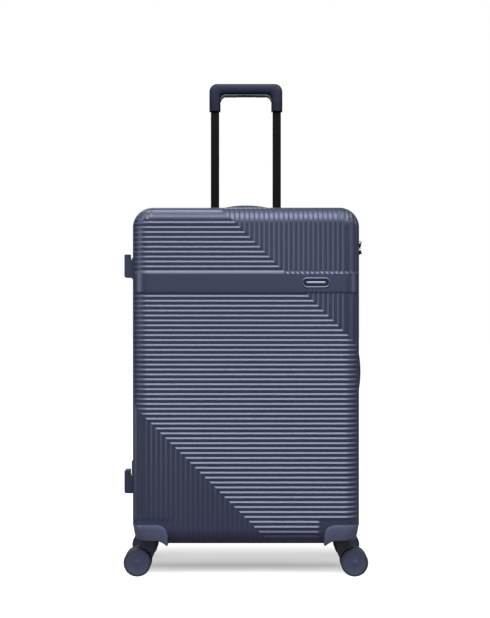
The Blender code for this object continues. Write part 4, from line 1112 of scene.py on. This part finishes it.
def lining_cloth(name, half, low, high):
    """The cloth as rings: a flange on the shell's rim, a wall, a round bend and a floor of
    shrinking rings. Near the wheel housings each point moves to the middle of its neighbours
    again and again, and out of the housings' boxes, which drapes the cloth over them."""
    wide, bottom, top = high[0], low[2], high[2]
    deep = max(abs(low[1]), abs(high[1])) - 1.2 * MM
    bend = 22 * MM
    rim = 7 * MM
    inset = 3.6 * MM
    flange = (HALF_WIDTH - inset, CASE_BOTTOM + inset, CASE_TOP - inset, 38 * MM)
    fold = (wide + 1 * MM, bottom - 1 * MM, top + 1 * MM, 25 * MM)
    rings = [lining_outline(*flange, half * rim), lining_outline(*fold, half * (rim + 0.4 * MM))]
    for y in np.linspace(rim + 2 * MM, deep - bend, 14):
        rings.append(lining_outline(wide, bottom, top, 24 * MM, half * y))
    for turn in np.radians(np.linspace(15, 90, 6)):
        inset = bend * (1 - np.cos(turn))
        y = deep - bend * (1 - np.sin(turn))
        rings.append(lining_outline(wide - inset, bottom + inset, top - inset, 24 * MM, half * y))
    floor = rings[-1]
    middle = np.array([0, 0, (bottom + top) / 2])
    for share in np.linspace(1, 0, 27)[1:-1] ** 1.1:
        rings.append(floor * [share, 1, share] + middle * [1, 1, 1 - share])
    cloth = np.array(rings)

    # The housings' boxes, and how far each point is from the nearer one.
    box_x, box_y, box_z = 161 * MM, 47 * MM, 116.5 * MM
    inside = np.stack([box_x - np.abs(cloth[..., 0]), box_y - np.abs(cloth[..., 1]), cloth[..., 2] - box_z])
    near = np.clip(1 - np.maximum(inside, 0).max(0) / (55 * MM), 0, 1)[..., None]
    near[:2] = 0
    start = cloth.copy()
    for _ in range(160):
        level = (np.roll(cloth, 1, 1) + np.roll(cloth, -1, 1)) / 2
        deeper = cloth.copy()
        deeper[1:-1] = (cloth[:-2] + cloth[2:]) / 2
        cloth = start + near * ((level + deeper) / 2 - start)
        away_x, away_y = np.abs(cloth[..., 0]) - box_x, np.abs(cloth[..., 1]) - box_y
        gaps = np.stack([away_x, away_y, box_z - cloth[..., 2]], -1)
        held = (gaps > 0).all(-1)
        least = gaps.argmin(-1)
        push = np.where(held[..., None] & (least[..., None] == np.arange(3)), gaps, 0)
        signs = [np.sign(cloth[..., 0]), np.sign(cloth[..., 1]), -np.ones(held.shape)]
        cloth = cloth - push * np.stack(signs, -1)
    # Slack: shallow folds that run down the walls and across the floor, into the case only.
    x, y, z = np.moveaxis(cloth, -1, 0)
    fold = np.sin(x * 61 + 1.7 * np.sin(z * 23)) * np.sin(z * 47 + 1.3 * np.sin(x * 29 + half))
    fold = fold + 0.5 * np.sin(x * 131 + z * 97) * np.sin(z * 149 - x * 83)
    loose = 2.2 * MM * (1 + fold) * (1 - near[..., 0])
    loose[:3] = 0
    on_floor = np.clip((np.abs(y) - deep + bend) / bend, 0, 1)
    cloth[..., 1] -= half * loose * on_floor
    cloth[..., 0] -= np.sign(x) * loose * (1 - on_floor) * (np.abs(x) > wide - 8 * MM)
    up = z - middle[2]
    cloth[..., 2] -= np.sign(up) * loose * (1 - on_floor) * (np.abs(up) > (top - bottom) / 2 - 8 * MM)

    rows, columns = cloth.shape[:2]
    points = np.concatenate([cloth.reshape(-1, 3), cloth[-1].mean(0)[None]])
    faces = grid_faces(rows, columns).tolist()
    last = (rows - 1) * columns + np.arange(columns)
    faces += np.stack([last, np.roll(last, -1), np.full(columns, len(points) - 1)], -1).tolist()
    mesh = bpy.data.meshes.new(name)
    mesh.from_pydata(points, [], faces)
    # The cloth's good side looks into the case, towards the zip.
    if mesh.polygons[-1].normal[1] * half > 0:
        mesh.flip_normals()
    mesh.shade_smooth()
    return mesh


lining_finish = woven_lining("woven_polyester_lining", "#3a3d4a")
# Each half's side, and the size and area of its cloth when cut and laid flat.
cuts = (("front", -1, (0.725, 0.957), 0.612), ("rear", 1, (0.659, 0.89), 0.54))
for half_name, half, flat, area in cuts:
    low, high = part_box(half_name + "_lining")
    cloth = lining_cloth(half_name + "_lining_cloth", half, low, high)
    body = half_name + "_case"
    cloth = piece(cloth.name, cloth, lining_finish, body, "lining", half_name + "_lining")
    # A bound piping covers the seam between the wall and the flange.
    cord_rings = []
    for angle in np.arange(10) * np.pi / 5:
        out, away = 1.7 * MM * np.cos(angle), 1.4 * MM * np.sin(angle)
        y = half * (6.9 * MM + away)
        cord_rings.append(lining_outline(high[0] + out, low[2] - out, high[2] + out, 24 * MM + out, y))
    piping = lofted(half_name + "_lining_piping", np.array(cord_rings), 60, whole=True)
    piece(piping.name, piping, tape_finish, body, "lining")


# A fabric gusset joins both linings down the hinge side.
gusset_x, gusset_reach = -HALF_WIDTH + 3.9 * MM, 6.6 * MM
straight_side = np.linspace(CASE_BOTTOM + OUTLINE_RADIUS, CASE_TOP - OUTLINE_RADIUS, 90)
across, up = np.meshgrid(np.linspace(-1, 1, 25), straight_side)
pucker = 0.35 * MM * (1 - across**2) * (1 + np.sin(up * 420))
gusset_points = np.stack([gusset_x + pucker, gusset_reach * across, up], -1).reshape(-1, 3)
gusset = bpy.data.meshes.new("hinge_gusset")
gusset.from_pydata(gusset_points, [], grid_faces(90, 25, False, False).tolist())
gusset.shade_smooth()
gusset.materials.append(lining_finish)
gusset = bpy.data.objects.new("hinge_gusset", gusset)
bpy.context.scene.collection.objects.link(gusset)
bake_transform(gusset)
